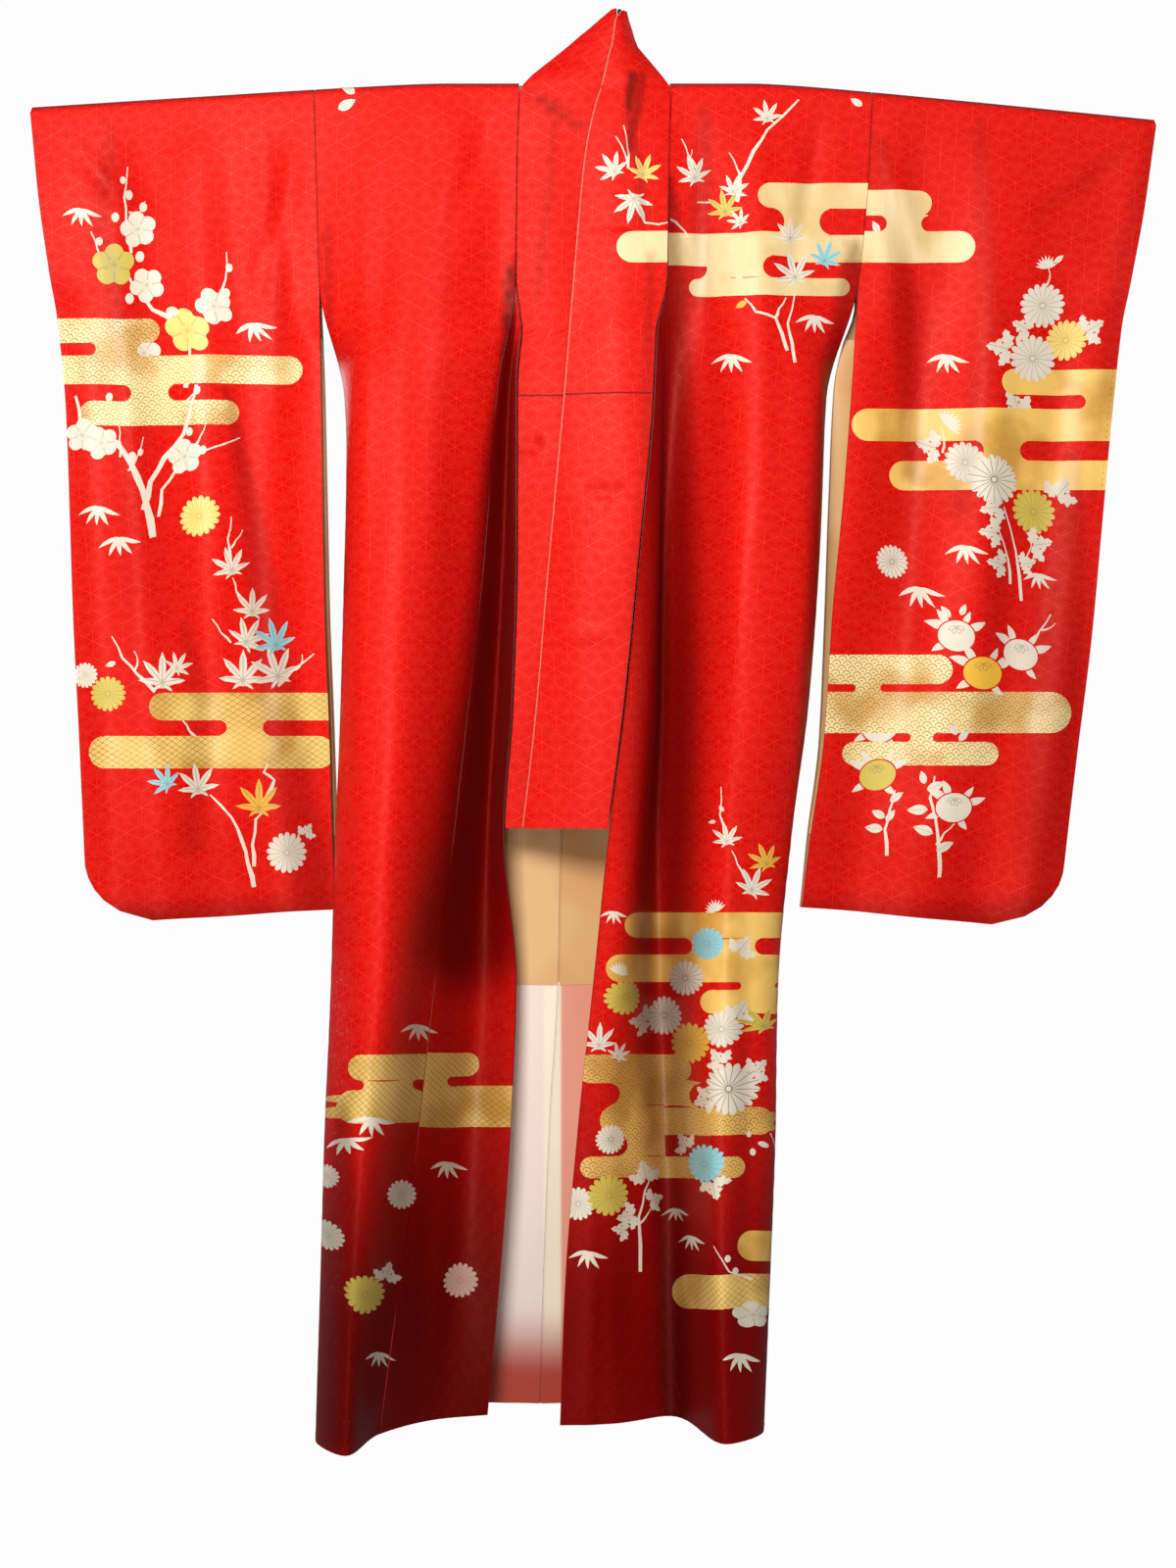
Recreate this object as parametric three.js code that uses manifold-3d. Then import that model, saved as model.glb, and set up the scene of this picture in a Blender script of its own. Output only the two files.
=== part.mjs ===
// A furisode, the long-sleeved kimono, hanging by its collar and a rod through its sleeves.
// Millimetres, +Z up, the front of the garment faces -Y. The origin is the point
// inside the wire hook that rests on a rail. "Right" and "left" are the wearer's.

import * as THREE from 'three';
import Module from 'manifold-3d';

const manifold = await Module();
manifold.setup();

// ---- driving sizes ----
const shoulderDrop = 81;        // hook to the top of the shoulders
const bodyLength = 1549;        // shoulder to hem
const sleeveLength = 955;       // shoulder to the foot of a sleeve
const armholeLength = 235;      // how far a sleeve is sewn to the body
const cuffLength = 235;         // open height of a cuff
const sleeveCorner = 75;        // radius of a sleeve's rounded corner
const overlapStart = 290;       // the overlap panels' full width starts here, below the shoulder
const overlapTip = 252;         // and their pointed tops here
const collarEnd = 866;          // foot of the collar below the shoulder
const coverEnd = 366;           // foot of the collar cover below the shoulder
const hemLiningTop = 1053;      // seam of the two body linings below the shoulder
const neckHalf = 88;            // half width of the neck opening
const neckBackDrop = 25;        // how far the back neck dips
const clothWall = 2;
const overlapWall = 1.8;
const collarWall = 2.4;
const liningWall = 1.2;
const seamGap = 0.3;
const rodRadius = 7;
const wireRadius = 2.5;
const hookBend = 10.5;          // radius of the hook, to the middle of its wire
const rodClear = 0.8;           // cloth to rod
const wrapRadius = rodRadius + rodClear + clothWall / 2;
const rodTop = clothWall / 2 + wrapRadius;       // shoulder top to the middle of the rod
const rodDepth = shoulderDrop + rodTop;

// Cross-sections of each half of the body, every point as [x, y]. From the free edge of the
// overlap panel round the side to the centre of the back. "down" is below the shoulder.
const rightBody = [
  { down: rodTop, edge: [-104, -wrapRadius], hollow: [-110, -wrapRadius], seam: [-116, -wrapRadius],
    ridge: [-207, -wrapRadius], turn: [-298, -wrapRadius], side: [-354, -wrapRadius],
    sideBack: [-354, wrapRadius], tuck: [-288, wrapRadius], wave: [-174, wrapRadius],
    centre: [-30, wrapRadius] },
  { down: 108, edge: [-107, -14], hollow: [-113, -13], seam: [-119, -12], ridge: [-206, -22],
    turn: [-286, -15],
    side: [-351, -10], sideBack: [-351, 10], tuck: [-277, 14], wave: [-163, 16], centre: [-30, 14] },
  { down: 234, edge: [-108, -20], hollow: [-114, -18], seam: [-120, -16], ridge: [-228, -38],
    turn: [-296, -24],
    side: [-347, -12], sideBack: [-347, 12], tuck: [-277, 18], wave: [-163, 23], centre: [-32, 18] },
  { down: 359, edge: [-119, -16], hollow: [-128, 2], seam: [-142, -12], ridge: [-243, -58], turn: [-308, -34],
    side: [-319, -2], tuck: [-276, 22], wave: [-163, 32], centre: [-36, 24] },
  { down: 542, edge: [-119, -18], hollow: [-136, 18], seam: [-156, -10], ridge: [-246, -85],
    turn: [-313, -48], side: [-311, -10], tuck: [-284, 30], wave: [-175, 42], centre: [-45, 32] },
  { down: 724, edge: [-124, -20], hollow: [-146, 30], seam: [-175, -15], ridge: [-251, -100],
    turn: [-317, -58], side: [-312, -15], tuck: [-290, 34], wave: [-182, 50], centre: [-56, 42] },
  { down: 872, edge: [-134, -14], hollow: [-154, 32], seam: [-191, -25], ridge: [-260, -115],
    turn: [-322, -66], side: [-315, -24], tuck: [-296, 36], wave: [-188, 56], centre: [-68, 46] },
  { down: 1043, edge: [-120, 6], hollow: [-157, 34], seam: [-212, -40], ridge: [-270, -130],
    turn: [-326, -76], side: [-318, -25], tuck: [-302, 38], wave: [-194, 58], centre: [-71, 46] },
  { down: 1214, edge: [-126, 2], hollow: [-169, 20], seam: [-230, -55], ridge: [-285, -140],
    turn: [-331, -90], side: [-324, -25], tuck: [-307, 38], wave: [-199, 58], centre: [-81, 48] },
  { down: 1385, edge: [-138, 0], hollow: [-185, 5], seam: [-251, -65], ridge: [-297, -148], turn: [-335, -98],
    side: [-328, -28], tuck: [-312, 37], wave: [-205, 56], centre: [-88, 49] },
  { down: 1549, edge: [-153, 0], hollow: [-207, -15], seam: [-272, -72], ridge: [-303, -152],
    turn: [-339, -104], side: [-332, -30], tuck: [-316, 36], wave: [-211, 54], centre: [-93, 49] },
];
const leftBody = [
  { down: rodTop, edge: [48, -wrapRadius], hollow: [54, -wrapRadius], seam: [60, -wrapRadius],
    ridge: [134, -wrapRadius], turn: [225, -wrapRadius], side: [293, -wrapRadius],
    sideBack: [293, wrapRadius], tuck: [227, wrapRadius], wave: [101, wrapRadius],
    centre: [-30, wrapRadius] },
  { down: 108, edge: [45, -22], hollow: [51, -20], seam: [57, -18], ridge: [150, -22], turn: [224, -15],
    side: [288, -10], sideBack: [288, 10], tuck: [227, 14], wave: [101, 16], centre: [-30, 14] },
  { down: 234, edge: [44, -28], hollow: [49, -25], seam: [55, -22], ridge: [153, -38], turn: [223, -24],
    side: [275, -12], sideBack: [275, 12], tuck: [222, 18], wave: [101, 23], centre: [-32, 18] },
  { down: 359, edge: [40, -32], hollow: [46, -22], seam: [53, -6], ridge: [149, -54], turn: [232, -32],
    side: [240, -2], tuck: [214, 22], wave: [96, 34], centre: [-36, 24] },
  { down: 542, edge: [24, -40], hollow: [40, -30], seam: [48, 12], ridge: [143, -78], turn: [226, -46],
    side: [230, -16], tuck: [208, 28], wave: [91, 44], centre: [-45, 32] },
  { down: 724, edge: [6, -46], hollow: [30, -38], seam: [47, 28], ridge: [133, -86], turn: [213, -50],
    side: [215, -14], tuck: [195, 36], wave: [80, 52], centre: [-56, 42] },
  { down: 872, edge: [-13, -50], hollow: [15, -42], seam: [42, 34], ridge: [128, -80], turn: [196, -40],
    side: [193, -8], tuck: [178, 42], wave: [68, 58], centre: [-68, 46] },
  { down: 1043, edge: [-31, -45], hollow: [-4, -40], seam: [45, 34], ridge: [121, -84], turn: [180, -42],
    side: [177, -6], tuck: [160, 44], wave: [57, 60], centre: [-71, 46] },
  { down: 1214, edge: [-49, -42], hollow: [-12, -36], seam: [53, 26], ridge: [118, -92], turn: [176, -52],
    side: [172, -8], tuck: [155, 44], wave: [51, 58], centre: [-81, 48] },
  { down: 1385, edge: [-63, -40], hollow: [-12, -32], seam: [58, 8], ridge: [119, -104], turn: [168, -62],
    side: [166, -8], tuck: [147, 44], wave: [45, 56], centre: [-88, 49] },
  { down: 1549, edge: [-69, -40], hollow: [-6, -34], seam: [60, -4], ridge: [121, -110], turn: [160, -70],
    side: [158, -8], tuck: [140, 44], wave: [39, 55], centre: [-93, 49] },
];

// Sleeves: where the cuff edge and the two body-side edges stand at each height.
const rightSleeve = [
  { down: rodTop, cuff: -683, front: -354, back: -354, sway: 0 },
  { down: 108, cuff: -673, front: -351, back: -351, sway: 3 },
  { down: 235, cuff: -655, front: -347, back: -347, sway: 6 },
  { down: 350, cuff: -643, front: -344, back: -342, sway: 9 },
  { down: 480, cuff: -638, front: -342, back: -339, sway: 11 },
  { down: 620, cuff: -633, front: -339, back: -336, sway: 11 },
  { down: 760, cuff: -626, front: -334, back: -331, sway: 10 },
  { down: 880, cuff: -621, front: -331, back: -328, sway: 9 },
  { down: 955, cuff: -619, front: -330, back: -328, sway: 8 },
];
const leftSleeve = [
  { down: rodTop, cuff: 622, front: 293, back: 293, sway: 0 },
  { down: 108, cuff: 608, front: 288, back: 288, sway: 3 },
  { down: 235, cuff: 585, front: 275, back: 275, sway: 6 },
  { down: 350, cuff: 572, front: 267, back: 249, sway: 9 },
  { down: 480, cuff: 560, front: 257, back: 243, sway: 11 },
  { down: 620, cuff: 547, front: 244, back: 238, sway: 11 },
  { down: 760, cuff: 530, front: 235, back: 232, sway: 10 },
  { down: 880, cuff: 516, front: 219, back: 217, sway: 9 },
  { down: 955, cuff: 509, front: 211, back: 209, sway: 8 },
];
const sleevePouch = 13;         // half the space between a sleeve's two layers
const sleeveWaves = 2;          // soft vertical folds across a sleeve

// Collars: the free edge of each below the shoulder, and how far the band stands out midway.
const rightCollar = [
  { down: rodTop, free: [4, -11], belly: -3 },
  { down: 90, free: [-8, -11], belly: -2 },
  { down: 220, free: [-12, -12], belly: -2 },
  { down: 366, free: [-12, -12], belly: -1 },
  { down: 480, free: [-13, -10], belly: -3 },
  { down: 640, free: [-15, -8], belly: -4 },
  { down: 780, free: [-20, -7], belly: -3 },
  { down: 866, free: [-30, -6], belly: -2 },
];
const leftCollar = [
  { down: rodTop, free: [-21, -18], belly: -5 },
  { down: 35, free: [-29, -20], belly: -5 },
  { down: 90, free: [-40, -21], belly: -5 },
  { down: 194, free: [-50, -22], belly: -6 },
  { down: 366, free: [-64, -22], belly: -6 },
  { down: 475, free: [-74, -23], belly: -7 },
  { down: 584, free: [-84, -24], belly: -7 },
  { down: 715, free: [-95, -25], belly: -7 },
  { down: 792, free: [-103, -26], belly: -6 },
  { down: 866, free: [-112, -27], belly: -6 },
];
// Above the shoulder the collar is gathered up to the hook. "up" is above the rod.
const rightLift = [
  { up: 0, outer: [-116, -10.5], inner: [4, -12] },
  { up: 12, outer: [-105, -10.5], inner: [2, -13] },
  { up: 34, outer: [-81, -3], inner: [0, -15.5] },
  { up: 52, outer: [-59, -1.8], inner: [-1, -16] },
  { up: 68, outer: [-40, -1.8], inner: [-3, -16] },
  { up: 82, outer: [-21, -8], inner: [-3.5, -16] },
  { up: 91, outer: [-9, -10], inner: [-4, -15.5] },
];
const leftLift = [
  { up: 0, outer: [60, -10.5], inner: [-21, -19] },
  { up: 12, outer: [51, -10.5], inner: [-18, -19.5] },
  { up: 34, outer: [35, -3], inner: [-13, -20.5] },
  { up: 52, outer: [20, -3], inner: [-8, -21] },
  { up: 68, outer: [14.5, -6], inner: [-6, -21] },
  { up: 82, outer: [9.5, -10], inner: [-3.5, -20.5] },
  { up: 88, outer: [8, -14], inner: [3.6, -18] },
];
const backLift = [
  { up: 12, right: [-105, 10.8], left: [50, 10.8], belly: 3 },
  { up: 34, right: [-81, 2.2], left: [35, 2.2], belly: 14 },
  { up: 52, right: [-59, 1.8], left: [20, 1.8], belly: 16 },
  { up: 68, right: [-38, 3], left: [14, 3], belly: 15 },
  { up: 84, right: [-14, 9], left: [8, 9], belly: 8 },
];

// ---- small helpers ----
const lerp = (a, b, t) => a + (b - a) * t;
const clamp = (value, low, high) => Math.min(high, Math.max(low, value));
const smooth = (low, high, value) => {
  const t = clamp((value - low) / (high - low), 0, 1);
  return t * t * (3 - 2 * t);
};
const steps = (from, to, count) => (
  Array.from({ length: count + 1 }, (_, i) => lerp(from, to, i / count))
);

// A number read from the rows of a table at any height, smooth and without overshoot.
function readTable(rows, key, value, read) {
  const last = rows.length - 1;
  const spot = clamp(value, rows[0][key], rows[last][key]);
  let k = 0;
  while (k < last - 1 && spot > rows[k + 1][key]) k += 1;
  const slopeOf = (i) => (read(rows[i + 1]) - read(rows[i])) / (rows[i + 1][key] - rows[i][key]);
  const tangentAt = (i) => {
    if (i === 0) return slopeOf(0);
    if (i === last) return slopeOf(last - 1);
    const before = slopeOf(i - 1);
    const after = slopeOf(i);
    return before * after <= 0 ? 0 : (2 * before * after) / (before + after);
  };
  const span = rows[k + 1][key] - rows[k][key];
  const t = (spot - rows[k][key]) / span;
  const rise = read(rows[k]) * (2 * t ** 3 - 3 * t ** 2 + 1) + read(rows[k + 1]) * (3 * t ** 2 - 2 * t ** 3);
  return rise + span * (tangentAt(k) * (t ** 3 - 2 * t ** 2 + t) + tangentAt(k + 1) * (t ** 3 - t ** 2));
}

// The rod sinks towards its ends, the left one a little more.
const sagRight = { start: 200, reach: 424, end: 24 };
const sagLeft = { start: 150, reach: 429, end: 38 };
const sagEase = 0.15;
function rodSag(x) {
  const { start, reach, end } = x < 0 ? sagRight : sagLeft;
  const t = Math.max(0, (Math.abs(x) - start) / reach);
  return (end * (1 + sagEase) * t * t) / (t + sagEase);
}

// Height of body cloth: level at the hem, following the rod at the shoulder.
const levelFrom = 300;
const bodyHeight = (x, down) => -shoulderDrop - down - rodSag(x) * (1 - smooth(levelFrom, bodyLength, down));
const sleeveHeight = (x, down) => -shoulderDrop - down - rodSag(x);

// ---- the body's cross-section ----
const sectionNames = [
  'edge', 'hollow', 'seam', 'ridge', 'turn', 'side', 'sideBack', 'tuck', 'wave', 'centre',
];
const sideBackIndex = sectionNames.indexOf('sideBack');
const foldPinch = 2.6;          // the two walls at a sewn side seam, middle to middle
const openPinch = [3, 9];       // from this far apart on, each wall ends straight

function sectionPoints(body, down) {
  return sectionNames.map((name) => {
    const coordinate = (axis) => readTable(body, 'down', down, (row) => {
      if (row[name]) return row[name][axis];
      return row.side[axis] + (axis ? foldPinch : 0);
    });
    return [coordinate(0), coordinate(1)];
  });
}

// A smooth curve through the section's points, cut to the stretch between two of them.
function sectionCurve(body, down, fromName, toName) {
  const points = sectionPoints(body, down);
  const first = sectionNames.indexOf(fromName);
  const final = sectionNames.indexOf(toName);
  const knots = [0];
  for (let i = 1; i < points.length; i += 1) {
    const [a, b] = [points[i - 1], points[i]];
    knots.push(knots[i - 1] + Math.hypot(b[0] - a[0], b[1] - a[1]));
  }
  const slope = (i, axis) => (points[i + 1][axis] - points[i][axis]) / (knots[i + 1] - knots[i]);
  const pinch = points[sideBackIndex][1] - points[sideBackIndex - 1][1];
  const openSide = smooth(...openPinch, pinch);
  const tangent = (i, axis) => {
    if (i === 0) return slope(0, axis);
    if (i === points.length - 1) return slope(i - 1, axis);
    const [before, after] = [knots[i] - knots[i - 1], knots[i + 1] - knots[i]];
    const through = (slope(i - 1, axis) * after + slope(i, axis) * before) / (before + after);
    if (i === sideBackIndex - 1) return lerp(through, slope(i - 1, axis), openSide);
    if (i === sideBackIndex) return lerp(through, slope(i, axis), openSide);
    return through;
  };
  return (t) => {
    const knot = lerp(knots[first] + seamGap / 2, knots[final] - seamGap / 2, t);
    let k = 0;
    while (k < points.length - 2 && knot > knots[k + 1]) k += 1;
    const span = knots[k + 1] - knots[k];
    const u = (knot - knots[k]) / span;
    return [0, 1].map((axis) => points[k][axis] * (2 * u ** 3 - 3 * u ** 2 + 1)
      + points[k + 1][axis] * (3 * u ** 2 - 2 * u ** 3)
      + span * (tangent(k, axis) * (u ** 3 - 2 * u ** 2 + u) + tangent(k + 1, axis) * (u ** 3 - u ** 2)));
  };
}

// ---- cloth as a wall of even thickness ----
// surface(u, v) gives the middle of the wall. The grid of us and vs becomes one closed solid.
const slopeStep = [0.002, 0.0005];     // share of a piece over which its slope is measured
function clothGrid(surface, us, vs, offset = 0) {
  const [du, dv] = [slopeStep[0], slopeStep[1] * (vs.at(-1) - vs[0])];
  return vs.map((v) => us.map((u) => {
    const point = surface(u, v);
    const across = surface(u + du, v).sub(surface(u - du, v));
    const along = surface(u, Math.min(v + dv, vs.at(-1))).sub(surface(u, Math.max(v - dv, vs[0])));
    const normal = across.cross(along).normalize();
    return { point: point.addScaledVector(normal, offset), normal };
  }));
}

// "lean" splits its four-sided faces the other way, as on a layer whose rows run down.
function wallSolid(grid, wall, lean = false) {
  const [rows, columns] = [grid.length, grid[0].length];
  const positions = [];
  [0.5, -0.5].forEach((half) => grid.flat().forEach(({ point, normal }) => {
    positions.push(...point.clone().addScaledVector(normal, half * wall).toArray());
  }));
  const inner = rows * columns;
  const index = [];
  const quad = (a, b, c, d) => index.push(...(lean ? [b, c, d, b, d, a] : [a, b, c, a, c, d]));
  for (let r = 0; r < rows - 1; r += 1) {
    for (let c = 0; c < columns - 1; c += 1) {
      const a = r * columns + c;
      quad(a, a + 1, a + columns + 1, a + columns);
      quad(inner + a, inner + a + columns, inner + a + columns + 1, inner + a + 1);
    }
  }
  const rim = [];
  for (let c = 0; c < columns - 1; c += 1) rim.push(c);
  for (let r = 0; r < rows - 1; r += 1) rim.push(r * columns + columns - 1);
  for (let c = columns - 1; c > 0; c -= 1) rim.push((rows - 1) * columns + c);
  for (let r = rows - 1; r > 0; r -= 1) rim.push(r * columns);
  rim.forEach((a, i) => {
    const b = rim[(i + 1) % rim.length];
    quad(a, inner + a, inner + b, b);
  });
  const geometry = new THREE.BufferGeometry();
  geometry.setAttribute('position', new THREE.Float32BufferAttribute(positions, 3));
  geometry.setIndex(index);
  return geometry;
}

// ---- materials ----
const cloth = (name, color, roughness) => (
  new THREE.MeshStandardMaterial({ name, color, roughness, metalness: 0 })
);
const redSilk = cloth('red silk', 0xc4120f, 0.5);
const overlapSilk = cloth('red silk overlap', 0xb01010, 0.5);
const collarSilk = cloth('red silk collar', 0xd01c16, 0.48);
const ochreSilk = cloth('ochre lining', 0xd79c5c, 0.6);
const paleSilk = cloth('pale hem lining', 0xdccbc6, 0.6);
const wood = cloth('varnished wood', 0x8a5a33, 0.45);
const steel = new THREE.MeshStandardMaterial({
  name: 'dark steel', color: 0x2b2724, roughness: 0.35, metalness: 1,
});

const furisode = new THREE.Group();
furisode.name = 'furisode';
function add(name, geometry, material) {
  const mesh = new THREE.Mesh(geometry, material);
  mesh.name = name;
  furisode.add(mesh);
}

// ---- body panels: each is one length of cloth, front hem over the rod to back hem ----
const wrapLength = Math.PI * wrapRadius;
const frontLength = bodyLength - rodTop;

const backWidth = 325;          // one half of the back at the shoulder
const neckShare = neckHalf / backWidth;

function bodySurface(body) {
  const frontPoint = (u, down) => sectionCurve(body, down, 'seam', 'side')(u);
  const backPoint = (u, down) => {
    const dip = clamp((down - rodTop) / neckBackDrop, 0, 1);
    const inner = neckShare * Math.sqrt(1 - dip * dip);
    return sectionCurve(body, down, 'sideBack', 'centre')((1 - inner) * (1 - u));
  };
  return (u, path) => {
    if (path <= frontLength) {
      const down = bodyLength - path;
      const [x, y] = frontPoint(u, down);
      return new THREE.Vector3(x, y, bodyHeight(x, down));
    }
    if (path < frontLength + wrapLength) {
      const angle = (path - frontLength) / wrapRadius;
      const share = angle / Math.PI;
      const x = lerp(frontPoint(u, rodTop)[0], backPoint(u, rodTop)[0], share);
      const height = -rodDepth - rodSag(x) + wrapRadius * Math.sin(angle);
      return new THREE.Vector3(x, -wrapRadius * Math.cos(angle), height);
    }
    const down = rodTop + path - frontLength - wrapLength;
    const [x, y] = backPoint(u, down);
    return new THREE.Vector3(x, y, bodyHeight(x, down));
  };
}

// Neighbouring pieces share these heights, so their edges run side by side.
const shoulderDowns = [rodTop, 30, 60, 108, 170, armholeLength];
const panelDowns = [
  325, coverEnd, 450, 542, 633, 724, 795, collarEnd, 957, hemLiningTop, 1133, 1214, 1300, 1385, 1467, bodyLength,
];
const neckDowns = [0, 7, 13, 18, 22, neckBackDrop].map((dip) => rodTop + dip);
const tipDowns = [overlapTip, 270, overlapStart];
const frontDowns = [...shoulderDowns, ...tipDowns, ...panelDowns];
const backDowns = [...neckDowns, ...shoulderDowns.slice(2), overlapStart, ...panelDowns];
// Each length of cloth is two solids, parted over the rod, on the body and on the sleeves.
const overRod = steps(frontLength, frontLength + wrapLength, 6);
const bodyFrontRows = [
  ...frontDowns.map((down) => bodyLength - down).reverse(),
  ...overRod.slice(1, 3),
  overRod[3] - seamGap / 2,
];
const bodyBackRows = [
  overRod[3] + seamGap / 2,
  ...overRod.slice(4, 6),
  ...backDowns.map((down) => down - rodTop + frontLength + wrapLength),
];
const bodyColumns = steps(0, 1, 10);

// ---- okumi, the overlap panels: from under the collar to the hem along each free front edge ----
// Their tops narrow to a point along the collar's seam.
const toOverlap = [overlapStart - 60, overlapStart + 10];
const overlapSurface = (body) => (u, down) => {
  const share = smooth(...toOverlap, down);
  const [x, y] = sectionCurve(body, down, 'edge', 'seam')(1 - share * (1 - u));
  return new THREE.Vector3(x, y, bodyHeight(x, down));
};
const overlapRows = [...tipDowns, ...panelDowns];

// ---- linings of the back, seen through the open front ----
const liningOffset = clothWall / 2 + seamGap + liningWall / 2;
const liningStart = 50;         // top of a lining below the shoulder
const liningColumns = [0.004, ...bodyColumns.slice(1, 9)];

// How a sleeve's two layers stand apart and wave.
const pouchDowns = [20, 300];   // the layers go from the rod's width to the pouch's between these
const cuffSew = [40, 10];       // the cuff side closes from above the cuff's end to below it
const cuffShare = 0.75;
const footSew = 130;            // the foot closes over this height
const stitchRoom = 0.2;
const cornerEnd = 0.96;         // the corner's arc meets the foot a little before it is level
const looseBlend = 60;          // below the armhole the two edges part over this much
const calmEnd = 330;            // and by this height they hang freely
const seamShare = 0.25;         // share of the width that the armhole seam holds
const calmShare = 0.2;
const cuffCalm = 0.6;
const wavePhase = 0.15;
const waveLean = 700;

const halves = [['right', rightBody, rightSleeve, -1], ['left', leftBody, leftSleeve, 1]];
halves.forEach(([side, body, sleeve, hand]) => {
  const panel = (rows) => wallSolid(clothGrid(bodySurface(body), bodyColumns, rows), clothWall);
  add(`body_front_${side}`, panel(bodyFrontRows), redSilk);
  add(`body_back_${side}`, panel(bodyBackRows), redSilk);
  add(`okumi_${side}`, wallSolid(clothGrid(overlapSurface(body), steps(0, 1, 5), overlapRows), overlapWall),
    overlapSilk);

  // The lining's heights are those of the back panel's rows, so the two walls run parallel.
  const liningDowns = backDowns.filter((down) => down > liningStart);
  const upper = [...liningDowns.filter((down) => down < hemLiningTop), hemLiningTop - seamGap / 2];
  const lower = [hemLiningTop + seamGap / 2, ...liningDowns.filter((down) => down > hemLiningTop)];
  const toPath = (down) => down - rodTop + frontLength + wrapLength;
  const lining = (downs) => wallSolid(
    clothGrid(bodySurface(body), liningColumns, downs.map(toPath), -hand * liningOffset),
    liningWall,
  );
  add(`body_lining_${side}`, lining(upper), ochreSilk);
  add(`hem_lining_${side}`, lining(lower), paleSilk);

  // ---- sleeves: one length over the rod, its layers sewn at the cuff side and foot ----
  const layerDepth = (u, down) => {
    const openTop = lerp(wrapRadius, sleevePouch, smooth(...pouchDowns, down));
    const sewnGap = (clothWall + seamGap) / 2 + stitchRoom;
    const cuffClose = smooth(cuffLength - cuffSew[0], cuffLength + cuffSew[1], down) * smooth(cuffShare, 1, u);
    const footClose = smooth(sleeveLength - footSew, sleeveLength, down);
    return lerp(openTop, sewnGap, 1 - (1 - cuffClose) * (1 - footClose));
  };
  const sleevePoint = (u, down, layer) => {
    const read = (name) => readTable(sleeve, 'down', down, (row) => row[name]);
    const intoCorner = cornerEnd * clamp((down - (sleeveLength - sleeveCorner)) / sleeveCorner, 0, 1);
    const cornerIn = (sleeveCorner * (1 - Math.sqrt(1 - intoCorner ** 2))) / (1 - Math.sqrt(1 - cornerEnd ** 2));
    const sewn = readTable(body, 'down', Math.min(down, armholeLength), (row) => row.side[0]);
    const loose = read(layer < 0 ? 'front' : 'back');
    const parted = smooth(armholeLength, armholeLength + looseBlend, down);
    const inner = lerp(sewn, loose, parted) + hand * 1.5 * seamGap;
    const outer = read('cuff') - hand * cornerIn;
    const x = lerp(inner, outer, u);
    const across = (x - inner) / (read('cuff') - inner);     // share of the width that the corner is cut from
    const seamDepth = readTable(body, 'down', Math.min(down, armholeLength), (row) => Math.abs(row.side[1]));
    const free = smooth(armholeLength, calmEnd, down);
    const depth = lerp(seamDepth, layerDepth(across, down), smooth(0, seamShare, across + free));
    const atCuff = 1 - cuffCalm * smooth(0.85, 1, across);
    const calm = smooth(0, calmShare, across + calmShare * free) * atCuff;
    const turn = 2 * Math.PI * (sleeveWaves * across + wavePhase) + down / waveLean;
    const wave = read('sway') * calm * Math.sin(turn);
    return [x, layer * depth - wave];
  };
  const sleeveSurface = (u, path) => {
    const front = sleeveLength - rodTop;
    if (path > front && path < front + wrapLength) {
      const angle = (path - front) / wrapRadius;
      const [x] = sleevePoint(u, rodTop, -1);
      const height = -rodDepth - rodSag(x) + wrapRadius * Math.sin(angle);
      return new THREE.Vector3(x, -wrapRadius * Math.cos(angle), height);
    }
    const layer = path <= front ? -1 : 1;
    const down = layer < 0 ? sleeveLength - path : rodTop + path - front - wrapLength;
    const [x, y] = sleevePoint(u, down, layer);
    return new THREE.Vector3(x, y, sleeveHeight(x, down));
  };
  const corner = [0, 1, 2, 3, 4].map((k) => sleeveCorner * (1 - Math.sin((k * Math.PI) / 8)));
  const sleeveDowns = [...shoulderDowns, 290, 350, 430, 520, 620, 720, 800,
    ...corner.map((rise) => sleeveLength - rise)];
  const sleeveFront = sleeveLength - rodTop;
  const sleeveOver = steps(sleeveFront, sleeveFront + wrapLength, 6);
  const sleeveFrontRows = [
    ...sleeveDowns.map((down) => sleeveLength - down).reverse(),
    ...sleeveOver.slice(1, 3),
    sleeveOver[3] - seamGap / 2,
  ];
  const sleeveBackRows = [
    sleeveOver[3] + seamGap / 2,
    ...sleeveOver.slice(4, 6),
    ...sleeveDowns.map((down) => down - rodTop + sleeveFront + wrapLength),
  ];
  const sleeveColumns = [0, 0.06, 0.13, 0.21, 0.3, 0.4, 0.5, 0.6, 0.7, 0.79, 0.87, 0.94, 1];
  const layer = (rows, lean) => wallSolid(clothGrid(sleeveSurface, sleeveColumns, rows), clothWall, lean);
  add(`sleeve_front_${side}`, layer(sleeveFrontRows, false), redSilk);
  add(`sleeve_back_${side}`, layer(sleeveBackRows, true), redSilk);

  // A strip of the sleeve's lining along its open body-side edge, inside the back layer.
  const stripSurface = (u, down) => {
    const [x, y] = sleevePoint(u, down, 1);
    return new THREE.Vector3(x, y, sleeveHeight(x, down));
  };
  const stripRows = sleeveDowns.filter((down) => down > armholeLength && down < sleeveLength - 80);
  const strip = clothGrid(stripSurface, sleeveColumns.slice(0, 6), stripRows, -hand * liningOffset);
  add(`sleeve_lining_${side}`, wallSolid(strip, liningWall, true), ochreSilk);
});

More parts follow.
